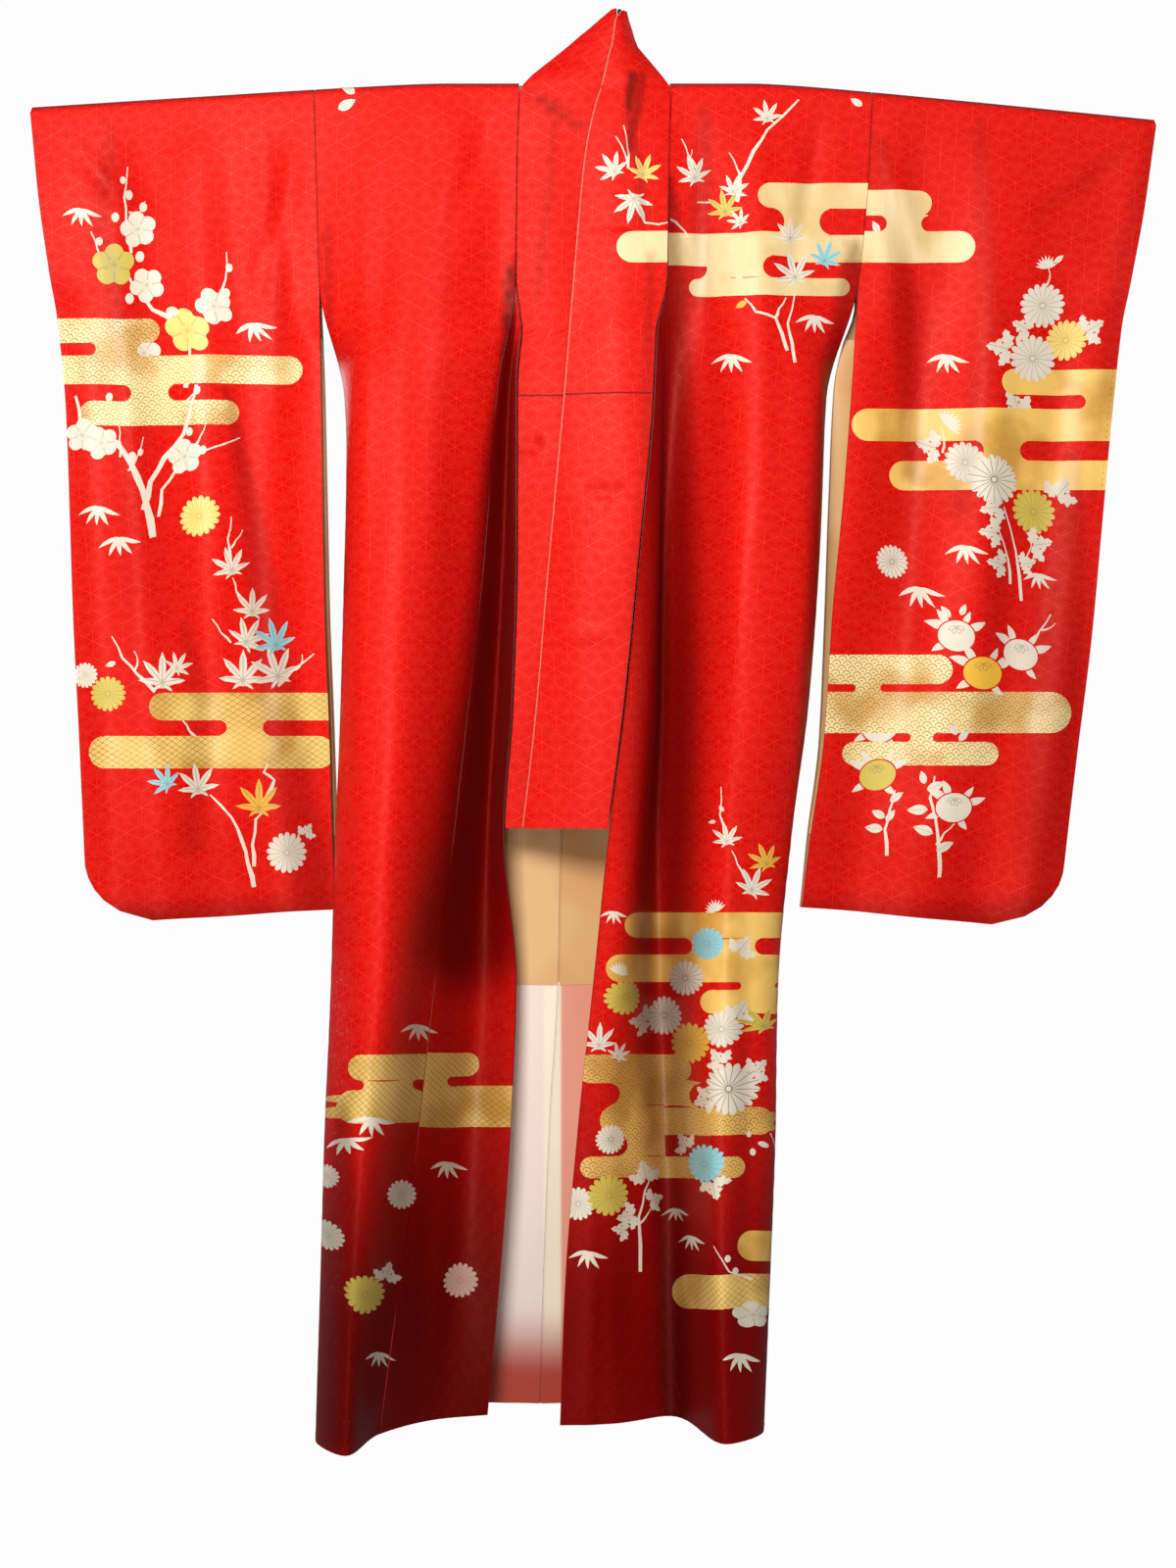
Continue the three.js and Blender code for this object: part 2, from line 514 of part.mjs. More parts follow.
// ---- collars ----
// Below the rod a collar runs from its seam on the front panel to its free edge.
const gatherUp = [60, 90];      // the band flattens towards the hook
const seamLift = [200, 300];    // the band clears the overlap panel's wall
const rodLift = 2.2;            // it lies this much in front of the cloth near the rod
const rodLiftDowns = [20, 90];
function collarSurface(body, collar, lift) {
  const seamAt = (down) => {
    const points = sectionPoints(body, down);
    const onOverlap = smooth(...toOverlap, down);
    return [0, 1].map((axis) => lerp(points[2][axis], points[0][axis], onOverlap));
  };
  return (u, path) => {
    const up = Math.max(0, path);
    const down = Math.max(0, -path) + rodTop;
    const readLift = (name, axis) => readTable(lift, 'up', up, (row) => row[name][axis]);
    const readFree = (axis) => readTable(collar, 'down', down, (row) => row.free[axis]);
    const seam = up > 0 ? [readLift('outer', 0), readLift('outer', 1)] : seamAt(down);
    const free = up > 0 ? [readLift('inner', 0), readLift('inner', 1)] : [readFree(0), readFree(1)];
    const hand = Math.sign(free[0] - seam[0]);
    const belly = readTable(collar, 'down', down, (row) => row.belly) * (1 - smooth(...gatherUp, up));
    const standOff = lerp(2 * seamGap, clothWall / 2 + 2 * seamGap, smooth(...seamLift, down));
    const clear = up > 0 ? 0 : standOff * hand;
    const nearRod = up > 0 ? 0 : -rodLift * (1 - smooth(...rodLiftDowns, down));
    const x = lerp(seam[0] + clear, free[0], u);
    const y = lerp(seam[1] + nearRod, free[1], u) + belly * Math.sin(Math.PI * u);
    return new THREE.Vector3(x, y, -rodDepth + (up > 0 ? up : rodTop - down));
  };
}
const collarColumns = steps(0, 1, 5);
const collarDowns = [...frontDowns].reverse();
const coverPath = collarDowns.filter((down) => down < coverEnd).map((down) => rodTop - down);
const coverRows = [rodTop - coverEnd + seamGap / 2, ...coverPath, 12, 23, 34, 43, 52, 60, 68, 75, 82];
const lowerDowns = collarDowns.filter((down) => down > coverEnd && down <= collarEnd);
const lowerRows = [...lowerDowns.map((down) => rodTop - down), rodTop - coverEnd - seamGap / 2];
[['right', rightBody, rightCollar, rightLift, 91], ['left', leftBody, leftCollar, leftLift, 88]]
  .forEach(([side, body, collar, lift, tip]) => {
    const surface = collarSurface(body, collar, lift);
    const cover = clothGrid(surface, collarColumns, [...coverRows, tip]);
    add(`collar_${side}`, wallSolid(clothGrid(surface, collarColumns, lowerRows), collarWall), collarSilk);
    add(`collar_cover_${side}`, wallSolid(cover, clothWall), collarSilk);
  });

// Behind the neck the collar stands on the back panels' neckline and rises to the hook.
const backFoot = backLift[0].up;
const backDip = { depth: neckBackDrop + 8, roundness: 0.8, push: 1.2 };
const backRise = (u, v) => {
  const up = Math.max(backFoot, v);
  const read = (name, axis) => readTable(backLift, 'up', up, (row) => row[name][axis]);
  const arch = Math.sin(Math.PI * clamp(u, 0, 1));
  const x = lerp(read('right', 0), read('left', 0), u);
  const belly = readTable(backLift, 'up', up, (row) => row.belly);
  const y = lerp(read('right', 1), read('left', 1), u) + belly * arch;
  const below = Math.max(0, backFoot - v) / backFoot;
  const drop = below * (backFoot + backDip.depth * arch ** backDip.roundness);
  return new THREE.Vector3(x, y + below * backDip.push * arch, -rodDepth + up - drop);
};
const backRows = [0, 4, 8, 12, 23, 34, 43, 52, 60, 68, 76, 84];
const backBand = clothGrid(backRise, steps(0.04, 0.96, 10), backRows);
add('collar_cover_back', wallSolid(backBand, clothWall), collarSilk);

// ---- the hanger: a drooping wooden rod, a block on it and a wire hook ----
const rodEnds = [-624, 579];
const rodPoints = steps(rodEnds[0], rodEnds[1], 12).map((x) => new THREE.Vector3(x, 0, -rodDepth - rodSag(x)));
const circle = (radius, sides) => new THREE.Shape(steps(0, 2 * Math.PI, sides).slice(0, sides)
  .map((angle) => new THREE.Vector2(radius * Math.cos(angle), radius * Math.sin(angle))));
const along = (points, radius, sides, count) => new THREE.ExtrudeGeometry(circle(radius, sides), {
  extrudePath: new THREE.CatmullRomCurve3(points), steps: count, bevelEnabled: false, curveSegments: sides,
});
add('hanger_rod', along(rodPoints, rodRadius, 12, 24), wood);

// The block is drilled for the rod and for the foot of the hook.
const blockSize = [56, 17, 26];
const stemTop = -(hookBend - wireRadius);
const blockTop = -rodDepth + blockSize[2] / 2;
function solidOf(geometry) {
  const source = geometry.toNonIndexed().getAttribute('position').array;
  const keys = new Map();
  const vertices = [];
  const corners = [];
  for (let i = 0; i < source.length; i += 3) {
    const key = [0, 1, 2].map((axis) => Math.round(source[i + axis] * 1e4)).join();
    if (!keys.has(key)) {
      keys.set(key, keys.size);
      vertices.push(source[i], source[i + 1], source[i + 2]);
    }
    corners.push(keys.get(key));
  }
  return new manifold.Manifold(new manifold.Mesh({
    numProp: 3, vertProperties: new Float32Array(vertices), triVerts: new Uint32Array(corners),
  }));
}
const drill = (radius, length, axis, x, y, z) => {
  const bore = new THREE.CylinderGeometry(radius, radius, length, 16);
  if (axis === 'x') bore.rotateZ(Math.PI / 2);
  else bore.rotateX(Math.PI / 2);
  return solidOf(bore.translate(x, y, z));
};
const stemY = -hookBend;
const blockForward = -1.5;
const block = solidOf(new THREE.BoxGeometry(...blockSize).translate(0, blockForward, -rodDepth))
  .subtract(drill(rodRadius + seamGap, 80, 'x', 0, 0, -rodDepth));
const blockMesh = block.getMesh();
const blockGeometry = new THREE.BufferGeometry();
blockGeometry.setAttribute('position', new THREE.Float32BufferAttribute(blockMesh.vertProperties, 3));
blockGeometry.setIndex(Array.from(blockMesh.triVerts));
add('hanger_block', blockGeometry, wood);

const footY = -4;               // the wire rises from the block a little in front of the rod
const stemBends = [10, 28, -12];  // above the block, above the block, and below the hook's arc
const hookPoints = [
  [footY, blockTop + seamGap],
  [footY, blockTop + stemBends[0]],
  [stemY, blockTop + stemBends[1]],
  [stemY, stemTop + stemBends[2]],
].map(([y, z]) => new THREE.Vector3(0, y, z));
for (let k = 0; k <= 8; k += 1) {
  const angle = Math.PI * (1 - k / 8);
  hookPoints.push(new THREE.Vector3(0, hookBend * Math.cos(angle), stemTop + hookBend * Math.sin(angle)));
}
hookPoints.push(new THREE.Vector3(0, hookBend, stemTop - 8));
add('hanger_hook', along(hookPoints, wireRadius, 8, 36), steel);

export default furisode;
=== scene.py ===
import math
import bpy
import numpy as np
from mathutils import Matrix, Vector
from mathutils.geometry import delaunay_2d_cdt


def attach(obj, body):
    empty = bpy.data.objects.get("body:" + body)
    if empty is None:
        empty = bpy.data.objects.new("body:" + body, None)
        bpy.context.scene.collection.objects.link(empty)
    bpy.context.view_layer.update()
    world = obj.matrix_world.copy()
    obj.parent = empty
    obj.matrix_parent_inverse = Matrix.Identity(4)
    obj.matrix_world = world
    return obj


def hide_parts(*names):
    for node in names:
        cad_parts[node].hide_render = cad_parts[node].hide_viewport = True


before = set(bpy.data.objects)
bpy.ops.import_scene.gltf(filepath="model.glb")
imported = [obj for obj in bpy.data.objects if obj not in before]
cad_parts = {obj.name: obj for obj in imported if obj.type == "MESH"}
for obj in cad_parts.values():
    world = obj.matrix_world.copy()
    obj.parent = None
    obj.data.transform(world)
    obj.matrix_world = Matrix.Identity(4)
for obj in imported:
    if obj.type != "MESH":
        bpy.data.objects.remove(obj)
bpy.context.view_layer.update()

# A red silk furisode on a rod hanger. Sizes are in millimetres until a mesh is made.
# Right and left are the wearer's, so the right half hangs at negative x.


def addObject(name, data):
    thing = bpy.data.objects.new(name, data)
    bpy.context.scene.collection.objects.link(thing)
    return thing


# Camera
camera = dict(x=-0.0365, y=-2.5, z=-0.896, lens=49.34, film=36.0)
cameraData = bpy.data.cameras.new("camera")
cameraData.lens = camera["lens"]
cameraData.sensor_width = camera["film"]
cameraData.clip_end = 60
cameraObject = addObject("camera", cameraData)
cameraObject.location = (camera["x"], camera["y"], camera["z"])
cameraObject.rotation_euler = (math.pi / 2, 0, 0)
bpy.context.scene.camera = cameraObject
bpy.context.scene.view_settings.view_transform = "Standard"



class Wire:
    def __init__(self, look, socket):
        self.look, self.socket = look, socket

    def __rsub__(self, other):
        return self.look.math("SUBTRACT", other, self)

    def __abs__(self):
        return self.look.math("ABSOLUTE", self)


operators = dict(__add__="ADD", __radd__="ADD", __sub__="SUBTRACT", __mul__="MULTIPLY", __rmul__="MULTIPLY",
                 __truediv__="DIVIDE", __lt__="LESS_THAN", __gt__="GREATER_THAN")
for method, operation in operators.items():
    setattr(Wire, method, lambda self, other, kind=operation: self.look.math(kind, self, other))


class Look:
    def __init__(self, name, **fixed):
        self.material = bpy.data.materials.new(name)
        self.material.use_nodes = True
        self.tree = self.material.node_tree
        self.shader = self.tree.nodes["Principled BSDF"]
        for socket, value in fixed.items():
            self.shader.inputs[socket.replace("_", " ")].default_value = value

    def node(self, kind, settings=None, inputs=None):
        made = self.tree.nodes.new(kind)
        for key, value in (settings or {}).items():
            setattr(made, key, value)
        for key, value in (inputs or {}).items():
            self.put(made.inputs[key], value)
        return made

    def put(self, socket, value):
        if isinstance(value, Wire):
            self.tree.links.new(value.socket, socket)
        else:
            socket.default_value = value

    def wire(self, made, output=0):
        return Wire(self, made.outputs[output])

    def math(self, operation, *values):
        return self.wire(self.node("ShaderNodeMath", {"operation": operation}, dict(enumerate(values))))

    def mix(self, share, first, second):
        inputs = {0: share, 6: first, 7: second}
        for key in (6, 7):
            if isinstance(inputs[key], tuple):
                inputs[key] = (*inputs[key], 1.0)
        return self.wire(self.node("ShaderNodeMix", {"data_type": "RGBA"}, inputs), 2)

    def uv(self, name, scale=1.0):
        split = self.node("ShaderNodeSeparateXYZ", None, {0: self.wire(self.node("ShaderNodeUVMap",
                {"uv_map": name}))})
        return self.wire(split, 0) * scale, self.wire(split, 1) * scale

    def object(self):
        return self.wire(self.node("ShaderNodeTexCoord"), 3)

    def noise(self, size, detail=2.0, stretch=(1, 1, 1)):
        spot = self.node("ShaderNodeVectorMath", {"operation": "MULTIPLY"}, {0: self.object(), 1: stretch})
        return self.wire(self.node("ShaderNodeTexNoise", None,
                                   {"Vector": self.wire(spot), "Scale": 1 / size, "Detail": detail}))

    def soft(self, value, low, high):
        inputs = {"Value": value, "From Min": low, "From Max": high}
        return self.wire(self.node("ShaderNodeMapRange", {"interpolation_type": "SMOOTHSTEP"}, inputs))

    def length(self, x, y):
        return self.math("SQRT", x * x + y * y)

    def fold(self, value, period):
        return self.math("PINGPONG", value, period)

    # painted shade: the colour is multiplied towards a deep tone by the shade map, in the folds and on the
    # inside of the garment
    def shadow(self, colour, deepest=(0.2, 0.0, 0.0, 1.0)):
        share = self.uv("shade")[0]
        made = self.node("ShaderNodeMix", {"data_type": "RGBA", "blend_type": "MULTIPLY"},
                         {0: share, 6: colour, 7: deepest})
        return self.wire(made, 2)

    def finish(self, colour, roughness=None, height=None, depth=0.0002):
        self.put(self.shader.inputs["Base Color"], colour if isinstance(colour, Wire) else (*colour, 1.0))
        if roughness is not None:
            self.put(self.shader.inputs["Roughness"], roughness)
        if height is not None:
            bump = self.node("ShaderNodeBump", None, {"Strength": 1.0, "Distance": depth, "Height": height})
            self.put(self.shader.inputs["Normal"], self.wire(bump))
        return self.material


# The garment's cut, the same sizes as its solids
cut = dict(shoulderDrop=81, bodyLength=1549, sleeveLength=955, armhole=235, cuff=235, corner=75,
           overlapStart=290, overlapTip=240,
           collarEnd=866, coverEnd=366, hemLiningTop=1053, neckHalf=88, neckBackDrop=25, backWidth=325,
           rodTop=9.8, wrapRadius=8.8, seamGap=0.3, wall=2.0, liningWall=1.2, foldPinch=2.6)
rodTop = cut["rodTop"]
wrapRadius = cut["wrapRadius"]
wrapLength = math.pi * wrapRadius
rodDepth = cut["shoulderDrop"] + rodTop
half = wrapRadius

# down, edge, hollow, seam, ridge, turn, side, sideBack, tuck, wave, centre
rightBody = [
    (rodTop, (-104, -half), (-110, -half), (-116, -half), (-207, -half), (-298, -half), (-354, -half),
     (-354, half), (-288, half), (-174, half), (-30, half)),
    (108, (-107, -14), (-113, -13), (-119, -12), (-206, -22), (-286, -15), (-351, -10),
     (-351, 10), (-277, 14), (-163, 16), (-30, 14)),
    (234, (-108, -20), (-114, -18), (-120, -16), (-228, -38), (-296, -24), (-347, -12),
     (-347, 12), (-277, 18), (-163, 23), (-32, 18)),
    (359, (-119, -16), (-128, 2), (-142, -12), (-243, -58), (-308, -34), (-319, -2),
     None, (-276, 22), (-163, 32), (-36, 24)),
    (542, (-119, -18), (-136, 18), (-156, -10), (-246, -85), (-313, -48), (-311, -10),
     None, (-284, 30), (-175, 42), (-45, 32)),
    (724, (-124, -20), (-146, 30), (-175, -15), (-251, -100), (-317, -58), (-312, -15),
     None, (-290, 34), (-182, 50), (-56, 42)),
    (872, (-134, -14), (-154, 32), (-191, -25), (-260, -115), (-322, -66), (-315, -24),
     None, (-296, 36), (-188, 56), (-68, 46)),
    (1043, (-120, 6), (-157, 34), (-212, -40), (-270, -130), (-326, -76), (-318, -25),
     None, (-302, 38), (-194, 58), (-71, 46)),
    (1214, (-126, 2), (-169, 20), (-230, -55), (-285, -140), (-331, -90), (-324, -25),
     None, (-307, 38), (-199, 58), (-81, 48)),
    (1385, (-138, 0), (-185, 5), (-251, -65), (-297, -148), (-335, -98), (-328, -28),
     None, (-312, 37), (-205, 56), (-88, 49)),
    (1549, (-153, 0), (-207, -15), (-272, -72), (-303, -152), (-339, -104), (-332, -30),
     None, (-316, 36), (-211, 54), (-93, 49)),
]
leftBody = [
    (rodTop, (48, -half), (54, -half), (60, -half), (134, -half), (225, -half), (293, -half),
     (293, half), (227, half), (101, half), (-30, half)),
    (108, (45, -22), (51, -20), (57, -18), (150, -22), (224, -15), (288, -10),
     (288, 10), (227, 14), (101, 16), (-30, 14)),
    (234, (44, -28), (49, -25), (55, -22), (153, -38), (223, -24), (275, -12),
     (275, 12), (222, 18), (101, 23), (-32, 18)),
    (359, (40, -32), (46, -22), (53, -6), (149, -54), (232, -32), (240, -2),
     None, (214, 22), (96, 34), (-36, 24)),
    (542, (24, -40), (40, -30), (48, 12), (143, -78), (226, -46), (230, -16),
     None, (208, 28), (91, 44), (-45, 32)),
    (724, (6, -46), (30, -38), (47, 28), (133, -86), (213, -50), (215, -14),
     None, (195, 36), (80, 52), (-56, 42)),
    (872, (-13, -50), (15, -42), (42, 34), (128, -80), (196, -40), (193, -8),
     None, (178, 42), (68, 58), (-68, 46)),
    (1043, (-31, -45), (-4, -40), (45, 34), (121, -84), (180, -42), (177, -6),
     None, (160, 44), (57, 60), (-71, 46)),
    (1214, (-49, -42), (-12, -36), (53, 26), (118, -92), (176, -52), (172, -8),
     None, (155, 44), (51, 58), (-81, 48)),
    (1385, (-63, -40), (-12, -32), (58, 8), (119, -104), (168, -62), (166, -8),
     None, (147, 44), (45, 56), (-88, 49)),
    (1549, (-69, -40), (-6, -34), (60, -4), (121, -110), (160, -70), (158, -8),
     None, (140, 44), (39, 55), (-93, 49)),
]
# down, cuff edge, front edge, back edge, sway
rightSleeve = [(rodTop, -683, -354, -354, 0), (108, -673, -351, -351, 3), (235, -655, -347, -347, 6),
               (350, -643, -344, -342, 9), (480, -638, -342, -339, 11), (620, -633, -339, -336, 11),
               (760, -626, -334, -331, 10), (880, -621, -331, -328, 9), (955, -619, -330, -328, 8)]
leftSleeve = [(rodTop, 622, 293, 293, 0), (108, 608, 288, 288, 3), (235, 585, 275, 275, 6),
              (350, 572, 267, 249, 9), (480, 560, 257, 243, 11), (620, 547, 244, 238, 11),
              (760, 530, 235, 232, 10), (880, 516, 219, 217, 9), (955, 509, 211, 209, 8)]
# down, free edge x and y, belly
rightCollar = [(rodTop, 4, -11, -3), (90, -8, -11, -2), (220, -12, -12, -2), (366, -12, -12, -1),
               (480, -13, -10, -3), (640, -15, -8, -4), (780, -20, -7, -3), (866, -30, -6, -2)]
leftCollar = [(rodTop, -21, -18, -5), (35, -29, -20, -5), (90, -40, -21, -5), (194, -50, -22, -6),
              (366, -64, -22, -6), (475, -74, -23, -7), (584, -84, -24, -7), (715, -95, -25, -7),
              (792, -103, -26, -6), (866, -112, -27, -6)]
# height above the rod, outer x and y, inner x and y
rightLift = [(0, -116, -10.5, 4, -12), (12, -105, -10.5, 2, -13), (34, -81, -3, 0, -15.5),
             (52, -59, -1.8, -1, -16),
             (68, -40, -1.8, -3, -16), (82, -21, -8, -3.5, -16), (91, -9, -10, -4, -15.5)]
leftLift = [(0, 60, -10.5, -21, -19), (12, 51, -10.5, -18, -19.5), (34, 35, -3, -13, -20.5),
            (52, 20, -3, -8, -21),
            (68, 14.5, -6, -6, -21), (82, 9.5, -10, -3.5, -20.5), (88, 8, -14, 3.6, -18)]
# height above the rod, right x and y, left x and y, belly
backLift = [(12, -105, 10.8, 50, 10.8, 3), (34, -81, 2.2, 35, 2.2, 14), (52, -59, 1.8, 20, 1.8, 16),
            (68, -38, 3, 14, 3, 15), (84, -14, 9, 8, 9, 8)]


def lerp(a, b, t):
    return a + (b - a) * t


def smooth(low, high, value):
    t = np.clip((value - low) / (high - low), 0, 1)
    return t * t * (3 - 2 * t)


# A smooth curve through the rows of a table, without overshoot.
def rowCurve(keys, values):
    keys = np.asarray(keys, float)
    values = np.asarray(values, float)
    slopes = np.diff(values) / np.diff(keys)
    before, after = slopes[:-1], slopes[1:]
    same = before * after > 0
    total = np.where(same, before + after, 1)
    inner = np.where(same, 2 * before * after / total, 0)
    tangents = np.concatenate([slopes[:1], inner, slopes[-1:]])

    def at(spot):
        spot = np.clip(spot, keys[0], keys[-1])
        k = np.searchsorted(keys[1:-1], spot, side="left")
        span = keys[k + 1] - keys[k]
        t = (spot - keys[k]) / span
        bend = tangents[k] * (t ** 3 - 2 * t ** 2 + t) + tangents[k + 1] * (t ** 3 - t ** 2)
        flat = values[k] * (2 * t ** 3 - 3 * t ** 2 + 1) + values[k + 1] * (3 * t ** 2 - 2 * t ** 3)
        return flat + span * bend
    return at


def tableCurves(rows):
    keys = [row[0] for row in rows]
    return [rowCurve(keys, [row[k] for row in rows]) for k in range(1, len(rows[0]))]


# where the sleeves start to sag, how far out they end and how much they sag, right and left
sag = dict(start=(200, 150), reach=(424, 429), drop=(24, 38), ease=0.15)


def rodSag(x):
    start, reach, drop = (np.where(x < 0, *sag[key]) for key in ("start", "reach", "drop"))
    t = np.maximum(0, (np.abs(x) - start) / reach)
    return drop * (1 + sag["ease"]) * t * t / (t + sag["ease"])


def bodyHeight(x, down):
    return -cut["shoulderDrop"] - down - rodSag(x) * (1 - smooth(300, cut["bodyLength"], down))


sectionNames = ["edge", "hollow", "seam", "ridge", "turn", "side", "sideBack", "tuck", "wave", "centre"]
sideBack = sectionNames.index("sideBack")


class Section:
    def __init__(self, rows):
        keys = [row[0] for row in rows]
        self.curves = []
        for k in range(len(sectionNames)):
            spots = [row[k + 1] or (row[sideBack][0], row[sideBack][1] + cut["foldPinch"]) for row in rows]
            self.curves.append([rowCurve(keys, [spot[axis] for spot in spots]) for axis in (0, 1)])

    def points(self, down):
        return np.stack([np.stack([curve(down) for curve in pair], -1) for pair in self.curves], 1)

    def at(self, down, t, fromName, toName):
        first, final = sectionNames.index(fromName), sectionNames.index(toName)
        points = self.points(down)
        gaps = np.linalg.norm(np.diff(points, axis=1), axis=2)
        knots = np.concatenate([np.zeros((len(down), 1)), np.cumsum(gaps, axis=1)], axis=1)
        slope = np.diff(points, axis=1) / gaps[..., None]
        before, after = gaps[:, :-1, None], gaps[:, 1:, None]
        through = (slope[:, :-1] * after + slope[:, 1:] * before) / (before + after)
        tangent = np.concatenate([slope[:, :1], through, slope[:, -1:]], axis=1)
        pinch = points[:, sideBack, 1] - points[:, sideBack - 1, 1]
        openSide = smooth(3, 9, pinch)[:, None]
        tangent[:, sideBack - 1] = lerp(tangent[:, sideBack - 1], slope[:, sideBack - 2], openSide)
        tangent[:, sideBack] = lerp(tangent[:, sideBack], slope[:, sideBack], openSide)
        gap = cut["seamGap"] / 2
        knot = lerp(knots[:, first] + gap, knots[:, final] - gap, t)
        k = (knots[:, 1:-1] < knot[:, None]).sum(axis=1)
        row = np.arange(len(down))
        span = gaps[row, k]
        u = ((knot - knots[row, k]) / span)[:, None]
        bend = tangent[row, k] * (u ** 3 - 2 * u ** 2 + u) + tangent[row, k + 1] * (u ** 3 - u ** 2)
        flat = points[row, k] * (2 * u ** 3 - 3 * u ** 2 + 1) + points[row, k + 1] * (3 * u ** 2 - 2 * u ** 3)
        return flat + span[:, None] * bend


sections = {"right": Section(rightBody), "left": Section(leftBody)}
hands = {"right": -1, "left": 1}
# slightly past 1, so that neighbours meet without a gap
meet = dict(back=1.0005, overlap=1.002)


# "along" runs up the front from 0 at the rod (so it is negative), over it, and down the back.
def downOf(along):
    return np.where(along <= 0, rodTop - along, rodTop + np.maximum(along - wrapLength, 0))


def bodySurface(side):
    section = sections[side]
    neckShare = cut["neckHalf"] / cut["backWidth"]

    def surface(u, along):
        down = downOf(along)
        front = section.at(np.where(along <= 0, down, rodTop), u, "seam", "side")
        backDown = np.where(along >= wrapLength, down, rodTop)
        dip = np.clip((backDown - rodTop) / cut["neckBackDrop"], 0, 1)
        inner = neckShare * np.sqrt(1 - dip * dip)
        back = section.at(backDown, (1 - inner) * (meet["back"] - u), "sideBack", "centre")
        share = np.clip(along / wrapLength, 0, 1)
        angle = math.pi * share
        arc = (along > 0) & (along < wrapLength)
        x = np.where(arc, lerp(front[:, 0], back[:, 0], share), np.where(along <= 0, front[:, 0], back[:, 0]))
        y = np.where(arc, -wrapRadius * np.cos(angle), np.where(along <= 0, front[:, 1], back[:, 1]))
        z = np.where(arc, -rodDepth - rodSag(x) + wrapRadius * np.sin(angle), bodyHeight(x, down))
        return np.stack([x, y, z], -1)
    return surface


# the overlap panel fades in from its tip
def overlapShare(down):
    return smooth(cut["overlapStart"] - 60, cut["overlapStart"] + 10, down)


def overlapSurface(side):
    def surface(u, along):
        down = downOf(along)
        share = overlapShare(down)
        spot = sections[side].at(down, meet["overlap"] - share * (1 - u), "edge", "seam")
        return np.stack([spot[:, 0], spot[:, 1], bodyHeight(spot[:, 0], down)], -1)
    return surface


# how the sleeve lets go of the body and hangs, in mm and in waves across it
hang = dict(cornerReach=0.96, release=60, freeBy=330, openTop=13, cuffBlend=40, footBlend=130,
            waves=2, phase=0.15, drift=700)


def sleeveSurface(side):
    hand = hands[side]
    cuffAt, frontAt, backAt, swayAt = tableCurves(rightSleeve if side == "right" else leftSleeve)
    seamX, seamY = sections[side].curves[sideBack - 1]
    length, corner, armhole = cut["sleeveLength"], cut["corner"], cut["armhole"]

    def surface(u, along):
        down = downOf(along)
        layer = np.where(along < wrapLength / 2, -1, 1)
        into = hang["cornerReach"] * np.clip((down - (length - corner)) / corner, 0, 1)
        cornerIn = corner * (1 - np.sqrt(1 - into ** 2)) / (1 - math.sqrt(1 - hang["cornerReach"] ** 2))
        sewn = seamX(np.minimum(down, armhole))
        loose = np.where(layer < 0, frontAt(down), backAt(down))
        inner = lerp(sewn, loose, smooth(armhole, armhole + hang["release"], down))
        inner = inner + hand * 1.5 * cut["seamGap"]
        x = lerp(inner, cuffAt(down) - hand * cornerIn, u)
        over = (x - inner) / (cuffAt(down) - inner)
        free = smooth(armhole, hang["freeBy"], down)
        openTop = lerp(wrapRadius, hang["openTop"], smooth(20, 300, down))
        sewnGap = (cut["wall"] + cut["seamGap"]) / 2 + 0.2
        cuffClose = smooth(cut["cuff"] - hang["cuffBlend"], cut["cuff"] + 10, down) * smooth(0.75, 1, over)
        footClose = smooth(length - hang["footBlend"], length, down)
        depth = lerp(openTop, sewnGap, 1 - (1 - cuffClose) * (1 - footClose))
        depth = lerp(np.abs(seamY(np.minimum(down, armhole))), depth, smooth(0, 0.25, over + free))
        calm = smooth(0, 0.2, over + 0.2 * free) * (1 - 0.6 * smooth(0.85, 1, over))
        swing = 2 * math.pi * (hang["waves"] * over + hang["phase"]) + down / hang["drift"]
        wave = swayAt(down) * calm * np.sin(swing)
        arc = (along > 0) & (along < wrapLength)
        angle = math.pi * np.clip(along / wrapLength, 0, 1)
        y = np.where(arc, -wrapRadius * np.cos(angle), layer * depth - wave)
        z = np.where(arc, -rodDepth - rodSag(x) + wrapRadius * np.sin(angle),
                     -cut["shoulderDrop"] - down - rodSag(x))
        return np.stack([x, y, z], -1)
    return surface


def collarSurface(side):
    freeX, freeY, bellyAt = tableCurves(rightCollar if side == "right" else leftCollar)
    outerX, outerY, innerX, innerY = tableCurves(rightLift if side == "right" else leftLift)

    def surface(u, along):
        up = np.maximum(0, along)
        down = np.maximum(0, -along) + rodTop
        points = sections[side].points(down)
        onOverlap = overlapShare(down)[:, None]
        seam = lerp(points[:, 2], points[:, 0], onOverlap)
        above = up > 0
        seamXNow = np.where(above, outerX(up), seam[:, 0])
        seamYNow = np.where(above, outerY(up), seam[:, 1])
        freeXNow = np.where(above, innerX(up), freeX(down))
        freeYNow = np.where(above, innerY(up), freeY(down))
        hand = np.sign(freeXNow - seamXNow)
        belly = bellyAt(down) * (1 - smooth(60, 90, up))
        gap = cut["seamGap"]
        clear = np.where(above, 0, lerp(2 * gap, cut["wall"] / 2 + 2 * gap, smooth(200, 300, down)) * hand)
        nearRod = np.where(above, 0, -2.2 * (1 - smooth(20, 90, down)))
        x = lerp(seamXNow + clear, freeXNow, u)
        y = lerp(seamYNow + nearRod, freeYNow, u) + belly * np.sin(math.pi * u)
        z = -rodDepth + np.where(above, up, rodTop - down)
        return np.stack([x, y, z], -1)
    return surface


